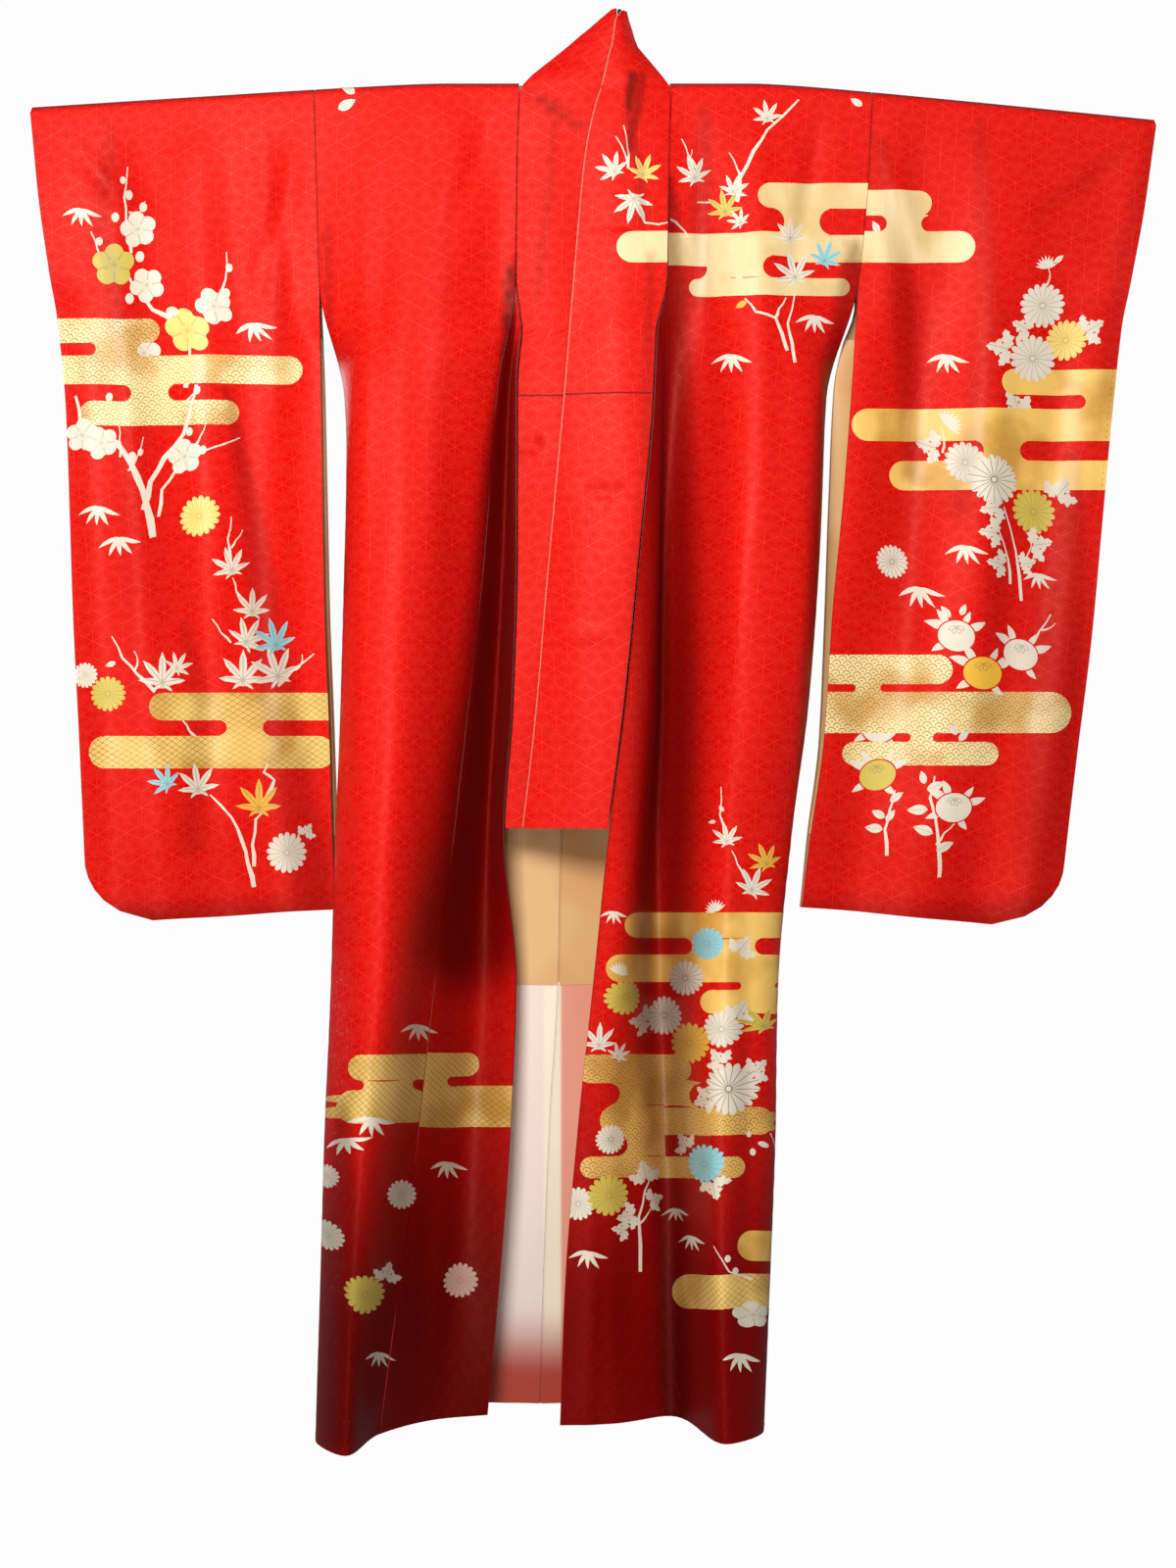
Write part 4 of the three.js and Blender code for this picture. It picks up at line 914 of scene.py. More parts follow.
# by piece: finish, bars (x left, x right, y top, y bottom, open ends), necks (the same without ends)
cloudRows = {
    ("sleeve", "right"): [
        ("seigaiha", [(66, 163, 325, 350, "L"), (66, 309, 363, 392, "L"), (82, 244, 409, 434, "")],
         [(98, 140, 350, 363), (133, 172, 392, 409)]),
        ("hishi", [(152, 343, 707, 735, "R"), (91, 342, 751, 784, "")], [(232, 268, 735, 750)]),
    ],
    ("body", "right"): [
        ("hishi", [(356, 470, 1076, 1102, "R"), (344, 438, 1112, 1146, "")], [(372, 420, 1102, 1112)]),
    ],
    ("overlap", "right"): [
        ("hishi", [(400, 489, 1074, 1098, "L"), (400, 540, 1108, 1150, "LR")], [(424, 456, 1098, 1108)]),
    ],
    ("body", "left"): [
        ("cream", [(640, 782, 238, 271, "L"), (773, 915, 187, 213, "R"), (703, 867, 284, 302, "")],
         [(800, 836, 213, 240), (722, 778, 262, 284), (760, 812, 240, 262)]),
        ("cream", [(820, 900, 240, 268, "LR")], []),
        ("goldPlain", [(640, 785, 931, 957, "LR"), (640, 790, 974, 1002, "LR"),
                       (715, 790, 1010, 1034, "R")], [(707, 770, 957, 974), (756, 790, 1002, 1010)]),
        ("seigaihaDeep", [(670, 706, 1076, 1105, "L"), (670, 789, 1130, 1158, "L"),
                          (670, 760, 1180, 1202, "L")], [(676, 704, 1105, 1130)]),
        ("goldPlain", [(752, 790, 1256, 1287, "R")], []), ("hishi", [(686, 790, 1300, 1335, "R")], []),
    ],
    ("collar", "left"): [
        ("cream", [(629, 700, 236, 268, "R")], []),
    ],
    ("sleeve", "left"): [
        ("cream", [(880, 951, 194, 220, "L"), (880, 995, 236, 268, "L")], [(905, 940, 220, 236)]),
        ("goldPlain", [(1021, 1180, 377, 403, "R"), (869, 1180, 417, 450, "R"), (907, 1140, 470, 500, "R")],
         [(1108, 1160, 403, 417), (1003, 1040, 450, 470)]),
        ("seigaiha", [(843, 972, 668, 698, "L"), (836, 1093, 706, 748, "L"), (859, 1018, 757, 781, "")],
         [(873, 898, 698, 706), (930, 952, 748, 757)]),
    ],
    ("overlap", "left"): [
        ("goldPlain", [(637, 690, 931, 957, "R"), (618, 690, 974, 1002, "R")], []),
        ("seigaihaDeep", [(588, 690, 1076, 1105, "R"), (612, 690, 1128, 1158, "R"),
                          (592, 690, 1180, 1202, "R")], [(632, 690, 1105, 1128), (640, 680, 1158, 1180)]),
    ],
}


def project(points):
    scale = -camera["y"] * 1000 / (points[..., 1] - camera["y"] * 1000)
    x = camera["x"] * 1000 + (points[..., 0] - camera["x"] * 1000) * scale
    z = camera["z"] * 1000 + (points[..., 2] - camera["z"] * 1000) * scale
    return x / unit + centreX, hookRow - z / unit


# Where a place in the front view lies on a piece of cloth: across and along it, in mm.
def clothSpot(key, px, py):
    patch = patches[key]
    front = patch.alongs <= max(0, patch.high if key[0] == "collar" else 0)
    if "view" not in patch.__dict__:
        patch.view = project(patch.grid[front])
        patch.frontAlongs = patch.alongs[front]
    gx, gy = patch.view
    row, column = np.unravel_index(np.argmin((gx - px) ** 2 + (gy - py) ** 2), gx.shape)
    r = min(max(row, 1), gx.shape[0] - 2)
    c = min(max(column, 1), gx.shape[1] - 2)
    basis = np.array([[gx[r + 1, c] - gx[r - 1, c], gx[r, c + 1] - gx[r, c - 1]],
                      [gy[r + 1, c] - gy[r - 1, c], gy[r, c + 1] - gy[r, c - 1]]]) / 2
    reach = 12.0 if row in (0, gx.shape[0] - 1) or column in (0, gx.shape[1] - 1) else 1.5
    if abs(np.linalg.det(basis)) > 0.4:
        move = np.clip(np.linalg.solve(basis, np.array([px - gx[row, column], py - gy[row, column]])),
                       -reach, reach)
    else:
        move = np.zeros(2)
    along = patch.frontAlongs[row] + move[0] * (patch.alongs[1] - patch.alongs[0])
    u = (column + move[1]) / (patch.columns - 1)
    return np.array([float(patch.across(u, along)), along])


# How one step right and one step up in the front view run on the cloth there.
def clothBasis(key, px, py, reach=7.0):
    right = (clothSpot(key, px + reach, py) - clothSpot(key, px - reach, py)) / (2 * reach)
    up = (clothSpot(key, px, py - reach) - clothSpot(key, px, py + reach)) / (2 * reach)
    basis = np.stack([right, up], 1)
    u, sizes, v = np.linalg.svd(basis)
    return u @ np.diag(np.clip(sizes, 0.9 * unit, 1.9 * unit)) @ v


def spin(degrees):
    c, s = math.cos(math.radians(degrees)), math.sin(math.radians(degrees))
    return np.array([[c, -s], [s, c]])


def addFigure(store, key, centre, outline, basis, drawing, colour):
    points = np.array(centre) + np.array(outline) @ basis.T
    store.append(dict(key=key, centre=np.array(centre), basis=basis, drawing=drawing, colour=colour,
                      points=points))


def capsule(x0, x1, low, high, openEnds, beyond=14):
    r = (high - low) / 2
    mid = (high + low) / 2
    left = [(x0 - beyond, high), (x0 - beyond, low)] if "L" in openEnds else [
        (x0 + r - r * math.sin(math.pi * k / 12), mid + r * math.cos(math.pi * k / 12)) for k in range(13)]
    right = [(x1 + beyond, low), (x1 + beyond, high)] if "R" in openEnds else [
        (x1 - r + r * math.sin(math.pi * k / 12), mid - r * math.cos(math.pi * k / 12)) for k in range(13)]
    between = max(2, int((x1 - x0) / 9))
    lower = [(lerp(left[-1][0], right[0][0], k / between), low) for k in range(1, between)]
    upper = [(lerp(right[-1][0], left[0][0], k / between), high) for k in range(1, between)]
    return left + lower + right + upper


def neckShape(x0, x1, low, high):
    r = (high - low) / 2
    mid = (high + low) / 2
    left = [(x0 - r + r * math.sin(math.pi * k / 10), mid + r
             * math.cos(math.pi * k / 10)) for k in range(11)]
    right = [(x1 + r - r * math.sin(math.pi * k / 10), mid - r
              * math.cos(math.pi * k / 10)) for k in range(11)]
    left[0] = (left[0][0], high + 1.2)
    left[-1] = (left[-1][0], low - 1.2)
    right[0] = (right[0][0], low - 1.2)
    right[-1] = (right[-1][0], high + 1.2)
    return left + right


fullness = dict(maple=1.3, bamboo=1.3, leaves=1.2, leaf=1.0, tachibana=1.0)


def placeFigure(store, key, centre, basis, kind, radius, colour="white", turn=0):
    size = radius * fullness.get(kind, 1.0)
    for outline, drawing, *own in figures[kind]():
        addFigure(store, key, centre, outline, basis @ spin(turn) * size, drawing, own[0] if own else colour)


# half hidden by the clouds, so placed before them
underRows = [
    (("sleeve", "right"), [
        ("plum", 147, 360, 18), ("plum", 128, 358, 9), ("maple", 166, 696, 24),
        ("maple", 181, 682, 14, "white", -30), ("maple", 248, 694, 24),
        ("maple", 284, 690, 25, "white", 20),
    ]),
    (("body", "left"), [
        ("maple", 741, 276, 20, "white", -30),
    ]),
    (("sleeve", "left"), [
        ("leaves", 1040, 422, 18, "white", 20), ("tachibana", 897, 742, 23),
    ]),
]
underTwigs = [
    (("sleeve", "right"), [
        ([(190, 396), (192, 370), (191, 350)], 3.0), ([(202, 756), (194, 746), (186, 734)], 2.0),
    ]),
]
frontStore, backStore = [], []
plain = np.eye(2)


def placeTwig(key, path, root):
    x0, y0 = path[0]
    local = [(x - x0, y0 - y) for x, y in path]
    fine = []
    for k in range(len(local) - 1):
        for t in (0, 0.5):
            fine.append((lerp(local[k][0], local[k + 1][0], t) + (1.0 if t else 0),
                         lerp(local[k][1], local[k + 1][1], t)))
    fine.append(local[-1])
    addFigure(frontStore, key, clothSpot(key, x0, y0), twigShape(fine, root * 0.85),
              clothBasis(key, x0, y0), "plain", "white")


def twigShape(points, root):
    left, right = [], []
    count = len(points)
    for k, (x, y) in enumerate(points):
        ahead, behind = points[min(k + 1, count - 1)], points[max(k - 1, 0)]
        dx, dy = ahead[0] - behind[0], ahead[1] - behind[1]
        length = math.hypot(dx, dy) or 1
        w = root * lerp(1.0, 0.35, k / (count - 1)) * (1.25 if k % 3 == 1 else 1.0)
        left.append((x - dy / length * w, y + dx / length * w))
        right.append((x + dy / length * w, y - dx / length * w))
    return left + right[::-1]


def placeTwigs(groups):
    for key, rows in groups:
        for path, root in rows:
            placeTwig(key, path, root)


def placeOnFront(groups):
    for key, rows in groups:
        for kind, x, y, radius, *tone in rows:
            placeFigure(frontStore, key, clothSpot(key, x, y), clothBasis(key, x, y), kind, radius, *tone)


placeTwigs(underTwigs)
placeOnFront(underRows)
for key, rows in cloudRows.items():
    for finish, bars, necks in rows:
        for outline in [capsule(*bar) for bar in bars] + [neckShape(*neck) for neck in necks]:
            spots = [clothSpot(key, x, y) for x, y in outline]
            addFigure(frontStore, key, (0, 0), spots, plain, finish, "cloud")
placeTwigs(twigRows)
placeOnFront(figureRows.items())

# The back has the same kinds of figures, with across from the centre seam and down for x and y.
backClouds = {
    ("body", "right"): [
        ("seigaiha", [(40, 250, 190, 222, ""), (-60, 180, 236, 268, "L")], [(90, 130, 222, 236)]),
        ("goldPlain", [(120, 325, 640, 672, "R"), (40, 230, 688, 716, "")], [(150, 190, 672, 688)]),
        ("seigaiha", [(-60, 210, 1040, 1074, "L"), (60, 290, 1090, 1122, "")], [(110, 150, 1074, 1090)]),
        ("hishi", [(80, 325, 1300, 1334, "R")], []),
    ],
    ("body", "left"): [
        ("goldPlain", [(-60, 150, 330, 362, "L"), (60, 300, 378, 408, "")], [(90, 126, 362, 378)]),
        ("hishi", [(70, 260, 820, 852, ""), (-60, 190, 868, 900, "L")], [(110, 150, 852, 868)]),
        ("seigaiha", [(90, 325, 1190, 1222, "R"), (30, 220, 1238, 1268, "")], [(130, 170, 1222, 1238)]),
    ],
    ("sleeve", "right"): [
        ("cream", [(60, 260, 250, 282, ""), (0, 180, 298, 326, "L")], [(110, 150, 282, 298)]),
        ("seigaiha", [(120, 330, 560, 592, "R"), (60, 250, 606, 636, "")], [(150, 190, 592, 606)]),
    ],
    ("sleeve", "left"): [
        ("goldPlain", [(90, 330, 340, 372, "R"), (40, 220, 388, 416, "")], [(120, 160, 372, 388)]),
        ("hishi", [(0, 200, 700, 732, "L"), (60, 270, 746, 774, "")], [(110, 150, 732, 746)]),
    ],
}
backFigures = {
    ("body", "right"): [
        ("maple", 120, 150, 24, "white", 20), ("maple", 168, 176, 20, "yellow", -30),
        ("maple", 90, 300, 26, "white", 10), ("maple", 138, 318, 22, "blue", -20),
        ("bamboo", 200, 440, 22), ("mum", 100, 560, 24, "gold"), ("mumOutlined", 150, 590, 28),
        ("leaves", 196, 572, 24, "white", -50), ("plum", 90, 800, 22), ("plum", 60, 836, 20, "pink", 10),
        ("bamboo", 210, 820, 20), ("mum", 170, 930, 26), ("mum", 214, 960, 24, "blue"),
        ("leaves", 130, 962, 24, "white", 60), ("mum", 150, 1190, 26, "gold"), ("mum", 196, 1222, 24),
        ("leaves", 108, 1206, 24, "white", 70), ("bamboo", 120, 1400, 22),
    ],
    ("body", "left"): [
        ("maple", 110, 160, 24, "white", -20), ("maple", 160, 190, 22, "olive", 30), ("mum", 120, 450, 26),
        ("mum", 166, 476, 24, "olive"), ("leaves", 205, 452, 24, "white", -60),
        ("bamboo", 80, 620, 22, "white", 10), ("plum", 210, 680, 22), ("plum", 170, 708, 20, "yellow", 20),
        ("mum", 120, 990, 26, "olive"), ("mumOutlined", 168, 1020, 30),
        ("leaves", 214, 1000, 24, "white", -60), ("bamboo", 70, 1100, 22), ("mum", 110, 1340, 26),
        ("mum", 156, 1366, 24, "olive"), ("leaves", 200, 1352, 24, "white", -60),
    ],
    ("sleeve", "right"): [
        ("mum", 150, 420, 26), ("mum", 196, 446, 24, "yellow"), ("leaves", 108, 436, 24, "white", 60),
        ("maple", 130, 150, 24, "white", 10), ("maple", 180, 178, 22, "blue", -20), ("plum", 110, 720, 22),
        ("plum", 156, 744, 22, "olive", 20), ("bamboo", 240, 800, 20),
    ],
    ("sleeve", "left"): [
        ("plum", 130, 190, 22, "white", 10), ("plum", 176, 214, 22, "yellow"), ("tachibana", 130, 520, 26),
        ("tachibana", 180, 560, 28, "orange", 10), ("bamboo", 90, 620, 22), ("mum", 150, 840, 24),
    ],
}


def backAlong(down):
    return wrapLength + down - rodTop


def backAcross(key, fromCentre, down):
    along = backAlong(down)
    if key[0] == "sleeve":
        return float(patches[key].start(along) + fromCentre)
    return float(fromCentre)


for key, rows in backClouds.items():
    basis = np.array([[1.0, 0], [0, -1.0]])
    for finish, bars, necks in rows:
        for x0, x1, y0, y1, *ends in [*bars, *necks]:
            outline = capsule(x0, x1, -y1, -y0, *ends, 60) if ends else neckShape(x0, x1, -y1, -y0)
            shift = backAcross(key, 0, (y0 + y1) / 2)
            addFigure(backStore, key, (shift, backAlong(0)), outline, basis, finish, "cloud")
for key, rows in backFigures.items():
    basis = np.array([[-hands[key[1]], 0], [0, -1.0]])
    for figure, across, down, radius, *tone in rows:
        spot = (backAcross(key, across, down), backAlong(down))
        placeFigure(backStore, key, spot, basis, figure, radius, *tone)
print("figures placed:", len(frontStore) + len(backStore))


# Materials
# Dyes are given as they look on a screen, 0 to 255.
def dye(red, green, blue):
    return tuple(round(((c / 255 + 0.055) / 1.055) ** 2.4, 4) if c > 10 else c / 255 / 12.92 for c in (red,
            green, blue))


silkTones = dict(red=dye(216, 6, 4), deep=dye(200, 3, 2), streak=dye(228, 22, 14), line=dye(240, 66, 48),
                 hem=dye(120, 1, 2), edge=dye(150, 2, 2), thread=dye(122, 104, 74))
silkTint = (1.0, 0.3, 0.24, 1.0)
weave = dict(column=17.5, point=18.7)
threadSize = 0.0011


def hempWeave(look):
    x, y = look.uv("cloth", 1000.0)
    t = look.fold(x / weave["column"], 1.0)
    s = weave["point"]
    rise = look.fold(y, 1.5 * s) / s
    diagonal = look.fold(rise - t * 0.5 + 4.0, 0.5)
    lines = look.soft(diagonal, 0.055, 0.02)
    even = look.soft(t, 0.045, 0.015) * (rise < 1.0)
    odd = look.soft(1.0 - t, 0.045, 0.015) * (rise > 0.5)
    lines = look.math("MAXIMUM", lines, look.math("MAXIMUM", even, odd))
    # star dashes round the middle of each lozenge
    below = rise < t * 0.5
    above = rise > t * 0.5 + 1.0
    centreT = 0.5 + 0.5 * below - 0.5 * above
    centreRise = 0.75 - 0.75 * below + 0.75 * above
    dx = (t - centreT) * weave["column"]
    dy = (rise - centreRise) * s
    angle = look.math("ARCTAN2", dy, dx)
    reach = look.length(dx, dy)
    dash = look.soft(look.math("SINE", angle * 18.0), 0.1, 0.9) * look.soft(reach, 1.0,
            2.0) * look.soft(reach, 9.0, 7.6)
    return look.math("MAXIMUM", lines * 0.75, dash * 0.9)


def edgeShade(look):
    left, right = look.uv("edge", 1000.0)
    return look.soft(look.math("MINIMUM", left, right), 1.9, 0.5)


def redSilk():
    look = Look("red figured silk", Sheen_Weight=0.03, Sheen_Roughness=0.4, Sheen_Tint=silkTint,
                Specular_IOR_Level=0.32, Specular_Tint=silkTint)
    pattern = hempWeave(look)
    cloud = look.noise(0.16, 3.0)
    streak = look.noise(0.012, 2.0, (1, 1, 0.05))
    ground = look.mix(cloud, silkTones["red"], silkTones["deep"])
    ground = look.mix(streak * 0.3, ground, silkTones["streak"])
    ground = look.mix(pattern * 0.42, ground, silkTones["line"])
    height = look.wire(look.node("ShaderNodeSeparateXYZ", None, {0: look.object()}), 2)
    # the red goes to maroon towards the hem, partly as a dyed shading and partly as painted shade for the
    # light that falls off downwards
    ground = look.mix(look.soft(height + cloud * 0.06, -1.08, -1.5), ground, silkTones["hem"])
    colour = look.shadow(look.mix(edgeShade(look) * 0.5, ground, silkTones["edge"]))
    threads = look.noise(threadSize, 1.0)
    rough = 0.47 - pattern * 0.13 + (cloud - 0.5) * 0.1
    return look.finish(colour, rough, pattern * 0.7 + threads * 0.35, 0.00018)


figureTones = {
    "white": dye(232, 219, 197), "pink": dye(228, 186, 168), "yellow": dye(250, 212, 116), "olive": dye(212,
            188, 80),
    "blue": dye(146, 204, 208), "gold": dye(234, 178, 64), "orange": dye(246, 190, 62),
}


# distance in turns to the nearest of a number of spokes
def spokes(look, angle, count, start):
    return look.fold(angle * (count / (2 * math.pi)) + start, 0.5)


def drawnLines(look, drawing):
    x, y = look.uv("figure")
    reach = look.length(x, y)
    angle = look.math("ARCTAN2", x, y)
    if drawing in ("mum", "mumOutlined"):
        petal = spokes(look, angle, 17, 17.5) * reach
        lines = look.soft(petal, 0.05, 0.02) * (reach > 0.12)
        return look.math("MAXIMUM", lines, look.soft(abs(reach - 0.12), 0.035, 0.01))
    if drawing == "plum":
        petal = spokes(look, angle, 5, 5.5) * reach
        stamen = spokes(look, angle, 15, 15.0) * reach
        lines = look.soft(petal, 0.03, 0.012) * (reach > 0.3)
        hairs = look.soft(stamen, 0.03, 0.01) * (reach < 0.46)
        return look.math("MAXIMUM", lines, hairs)
    if drawing == "maple":
        vein = look.fold(angle * (180 / math.pi / 41.0) + 8.0, 0.5)
        return look.soft(vein * reach, 0.035, 0.012) * (reach < 0.8)
    if drawing == "leaf":
        side = abs(x)
        ribs = look.soft(look.fold((y - side * 0.8) * 6.0 + 6.0, 0.5), 0.1, 0.03) * (side < 0.26)
        return look.math("MAXIMUM", look.soft(side, 0.03, 0.01), ribs * 0.8)
    if drawing == "fruit":
        marks = None
        for degrees in (-62, -22, 22, 62):
            c, s = math.cos(math.radians(degrees)), math.sin(math.radians(degrees))
            dx = (x * c + (y - 0.44) * s) * 1.7
            dy = (y - 0.44) * c - x * s + 0.2
            loop = look.soft(abs(look.length(dx, dy) - 0.15), 0.035, 0.012)
            marks = loop if marks is None else look.math("MAXIMUM", marks, loop)
        return marks
    return x * 0.0


# the deepest tone of the painted shade on the figures
figureShadeTone = (0.2, 0.12, 0.1, 1.0)


def figureSilk(drawing, colour):
    look = Look(f"{colour} {drawing} figure", Sheen_Weight=0.08, Sheen_Roughness=0.4, Specular_IOR_Level=0.35)
    tone = figureTones[colour]
    shade = tuple(c * 0.82 for c in tone)
    ground = look.mix(hempWeave(look) * 0.35, tone, shade)
    ground = look.mix(look.noise(0.02, 2.0) * 0.4, ground, shade)
    strength = 0.85 if drawing == "mumOutlined" else 0.5
    colour = look.shadow(look.mix(drawnLines(look, drawing) * strength, ground, silkTones["thread"]),
                         figureShadeTone)
    return look.finish(colour, 0.5, look.noise(threadSize, 1.0), 0.0001)


cloudTones = {
    "seigaiha": (dye(246, 218, 154), dye(214, 164, 84)), "hishi": (dye(246, 204, 108), dye(216, 160, 58)),
    # the next gold is a darker copy of the seigaiha gold, used for the clouds low on the front: painted shade
    # for the dimmer light there
    "seigaihaDeep": (dye(226, 174, 84), dye(196, 140, 52)),
    "goldPlain": (dye(248, 198, 98), dye(214, 156, 58)), "cream": (dye(236, 208, 152), dye(224, 188, 124)),
}
scales = dict(pitch=13.6, radius=7.1, row=5.6)
lozenge = dict(wide=11.0, tall=7.0)


def cloudSilk(finish):
    look = Look(f"{finish} gold cloud", Sheen_Weight=0.05, Specular_IOR_Level=0.45)
    light, deep = cloudTones[finish]
    patchy = look.soft(look.noise(0.07, 2.0), 0.42, 0.66)
    ground = look.mix(patchy, light, deep)
    x, y = look.uv("cloth", 1000.0)
    if finish.startswith("seigaiha"):
        row = look.math("FLOOR", y / scales["row"])
        inRow = y - row * scales["row"]
        shift = look.fold(row, 1.0) * 0.5 * scales["pitch"]
        near = look.fold(x - shift + 500 * scales["pitch"], scales["pitch"] / 2)
        nearBelow = scales["pitch"] / 2 - near
        here = look.length(near, inRow)
        lower = inRow + scales["row"]
        below = look.length(nearBelow, lower)
        inside = below < scales["radius"]
        reach = (below * inside + here * (1.0 - inside)) / scales["radius"]
        lines = look.soft(abs(look.fold(reach * 1.75 + 0.24, 0.5) - 0.5), 0.16, 0.06)
    elif finish == "hishi":
        first = look.fold(x / lozenge["wide"] + y / lozenge["tall"] + 400.0, 0.5)
        second = look.fold(x / lozenge["wide"] - y / lozenge["tall"] + 400.0, 0.5)
        edge = look.math("MINIMUM", first, second)
        lines = look.math("MAXIMUM", look.soft(edge, 0.09, 0.04),
                          look.soft(abs(edge - 0.28), 0.05, 0.02) * 0.7)
    else:
        lines = look.noise(0.004, 2.0, (1, 1, 0.1)) * 0.15
    depth = look.soft(look.noise(0.05, 2.0), 0.3, 0.6)
    colour = look.mix(lines * (0.55 + depth * 0.45), ground, dye(128, 86, 34))
    colour = look.shadow(look.mix(hempWeave(look) * 0.12, colour, dye(255, 232, 180)), (0.3, 0.2, 0.1, 1.0))
    return look.finish(colour, 0.42 + lines * 0.1, look.noise(threadSize, 1.0), 0.0001)


def liningSilk(name, first, second):
    look = Look(name, Sheen_Weight=0.1, Specular_IOR_Level=0.35)
    colour = look.mix(look.soft(look.noise(0.12, 2.0), 0.3, 0.7), first, second)
    threads = look.noise(0.0012, 1.0, (1, 1, 0.4))
    colour = look.shadow(look.mix(threads * 0.2, colour, tuple(c * 0.8 for c in first)),
                         (0.3, 0.2, 0.16, 1.0))
    return look.finish(colour, 0.5, threads, 0.00012)


def hemSilk():
    look = Look("pale hem lining", Sheen_Weight=0.1, Specular_IOR_Level=0.35)
    split = look.node("ShaderNodeSeparateXYZ", None, {0: look.object()})
    x, z = look.wire(split, 0) * 1000.0, look.wire(split, 2) * 1000.0
    cream = look.mix(look.soft(x, -92.0, -86.0), dye(236, 218, 206), dye(244, 232, 208))
    salmon = look.mix(look.soft(x, -71.0, -66.0), cream, dye(226, 150, 124))
    shaded = look.mix(look.soft(z, -1505.0, -1600.0), salmon, dye(170, 42, 6))
    threads = look.noise(0.0012, 1.0, (1, 1, 0.4))
    return look.finish(look.mix(threads * 0.15, shaded, dye(170, 150, 140)), 0.52, threads, 0.00012)


def pipingSilk():
    look = Look("pale piping", Sheen_Weight=0.1, Specular_IOR_Level=0.4)
    return look.finish(look.mix(look.noise(0.003, 1.0), dye(216, 120, 96), dye(190, 84, 62)), 0.45,
                       look.noise(0.0008, 1.0), 0.0001)


def threadLook():
    look = Look("stitching thread", Specular_IOR_Level=0.3)
    return look.finish(look.mix(look.noise(0.002, 1.0), dye(150, 4, 4), dye(110, 2, 2)), 0.6,
                       look.noise(0.0004, 1.0), 0.00005)


def woodLook():
    look = Look("varnished wood", Coat_Roughness=0.2, Specular_IOR_Level=0.5)
    grain = look.noise(0.004, 4.0, (0.06, 1, 1))
    look.put(look.shader.inputs["Coat Weight"], 0.35)
    colour = look.mix(look.soft(grain, 0.35, 0.7), dye(160, 112, 72), dye(122, 78, 46))
    return look.finish(colour, 0.4 + grain * 0.15, grain, 0.0002)


def steelLook():
    look = Look("dark wire", Metallic=1.0)
    worn = look.noise(0.01, 3.0)
    return look.finish(look.mix(worn, (0.05, 0.045, 0.04), (0.14, 0.13, 0.12)), 0.3 + worn * 0.2, worn,
                       0.00008)


looks = {
    "red": redSilk(), "ochre": liningSilk("ochre lining", dye(250, 206, 144), dye(236, 178, 112)),
    "rim": liningSilk("sewn edge", dye(214, 96, 78), dye(190, 50, 36)), "seam": liningSilk("seam allowance",
            dye(150, 4, 4), dye(120, 2, 2)),
    "hem": hemSilk(), "piping": pipingSilk(),
    "thread": threadLook(),
}


def lookFor(drawing, colour):
    key = (drawing, colour)
    if key not in looks:
        looks[key] = cloudSilk(drawing) if colour == "cloud" else figureSilk(drawing, colour)
    return looks[key]


print("materials ready")


# Cloth: one closed thin shell for each piece, cut along the outlines of its figures
# Long edges are split, so that an outline bends with the cloth.
def splitLong(loop, longest=7.0):
    fine = []
    for k, (x, y) in enumerate(loop):
        nextX, nextY = loop[(k + 1) % len(loop)]
        parts = max(1, math.ceil(math.hypot(nextX - x, nextY - y) / longest))
        fine += [(lerp(x, nextX, n / parts), lerp(y, nextY, n / parts)) for n in range(parts)]
    return fine


# distance in mm within which the cutting joins two points, and what a piece has unless it says otherwise
cutSlack = 0.02
clothDefaults = dict(step=10.0, rowStretch=1.35, wall=1.8, insideShade=0.35)


def addMap(mesh, name, values):
    mesh.uv_layers.new(name=name).data.foreach_set("uv", values.astype(np.float32).ravel())


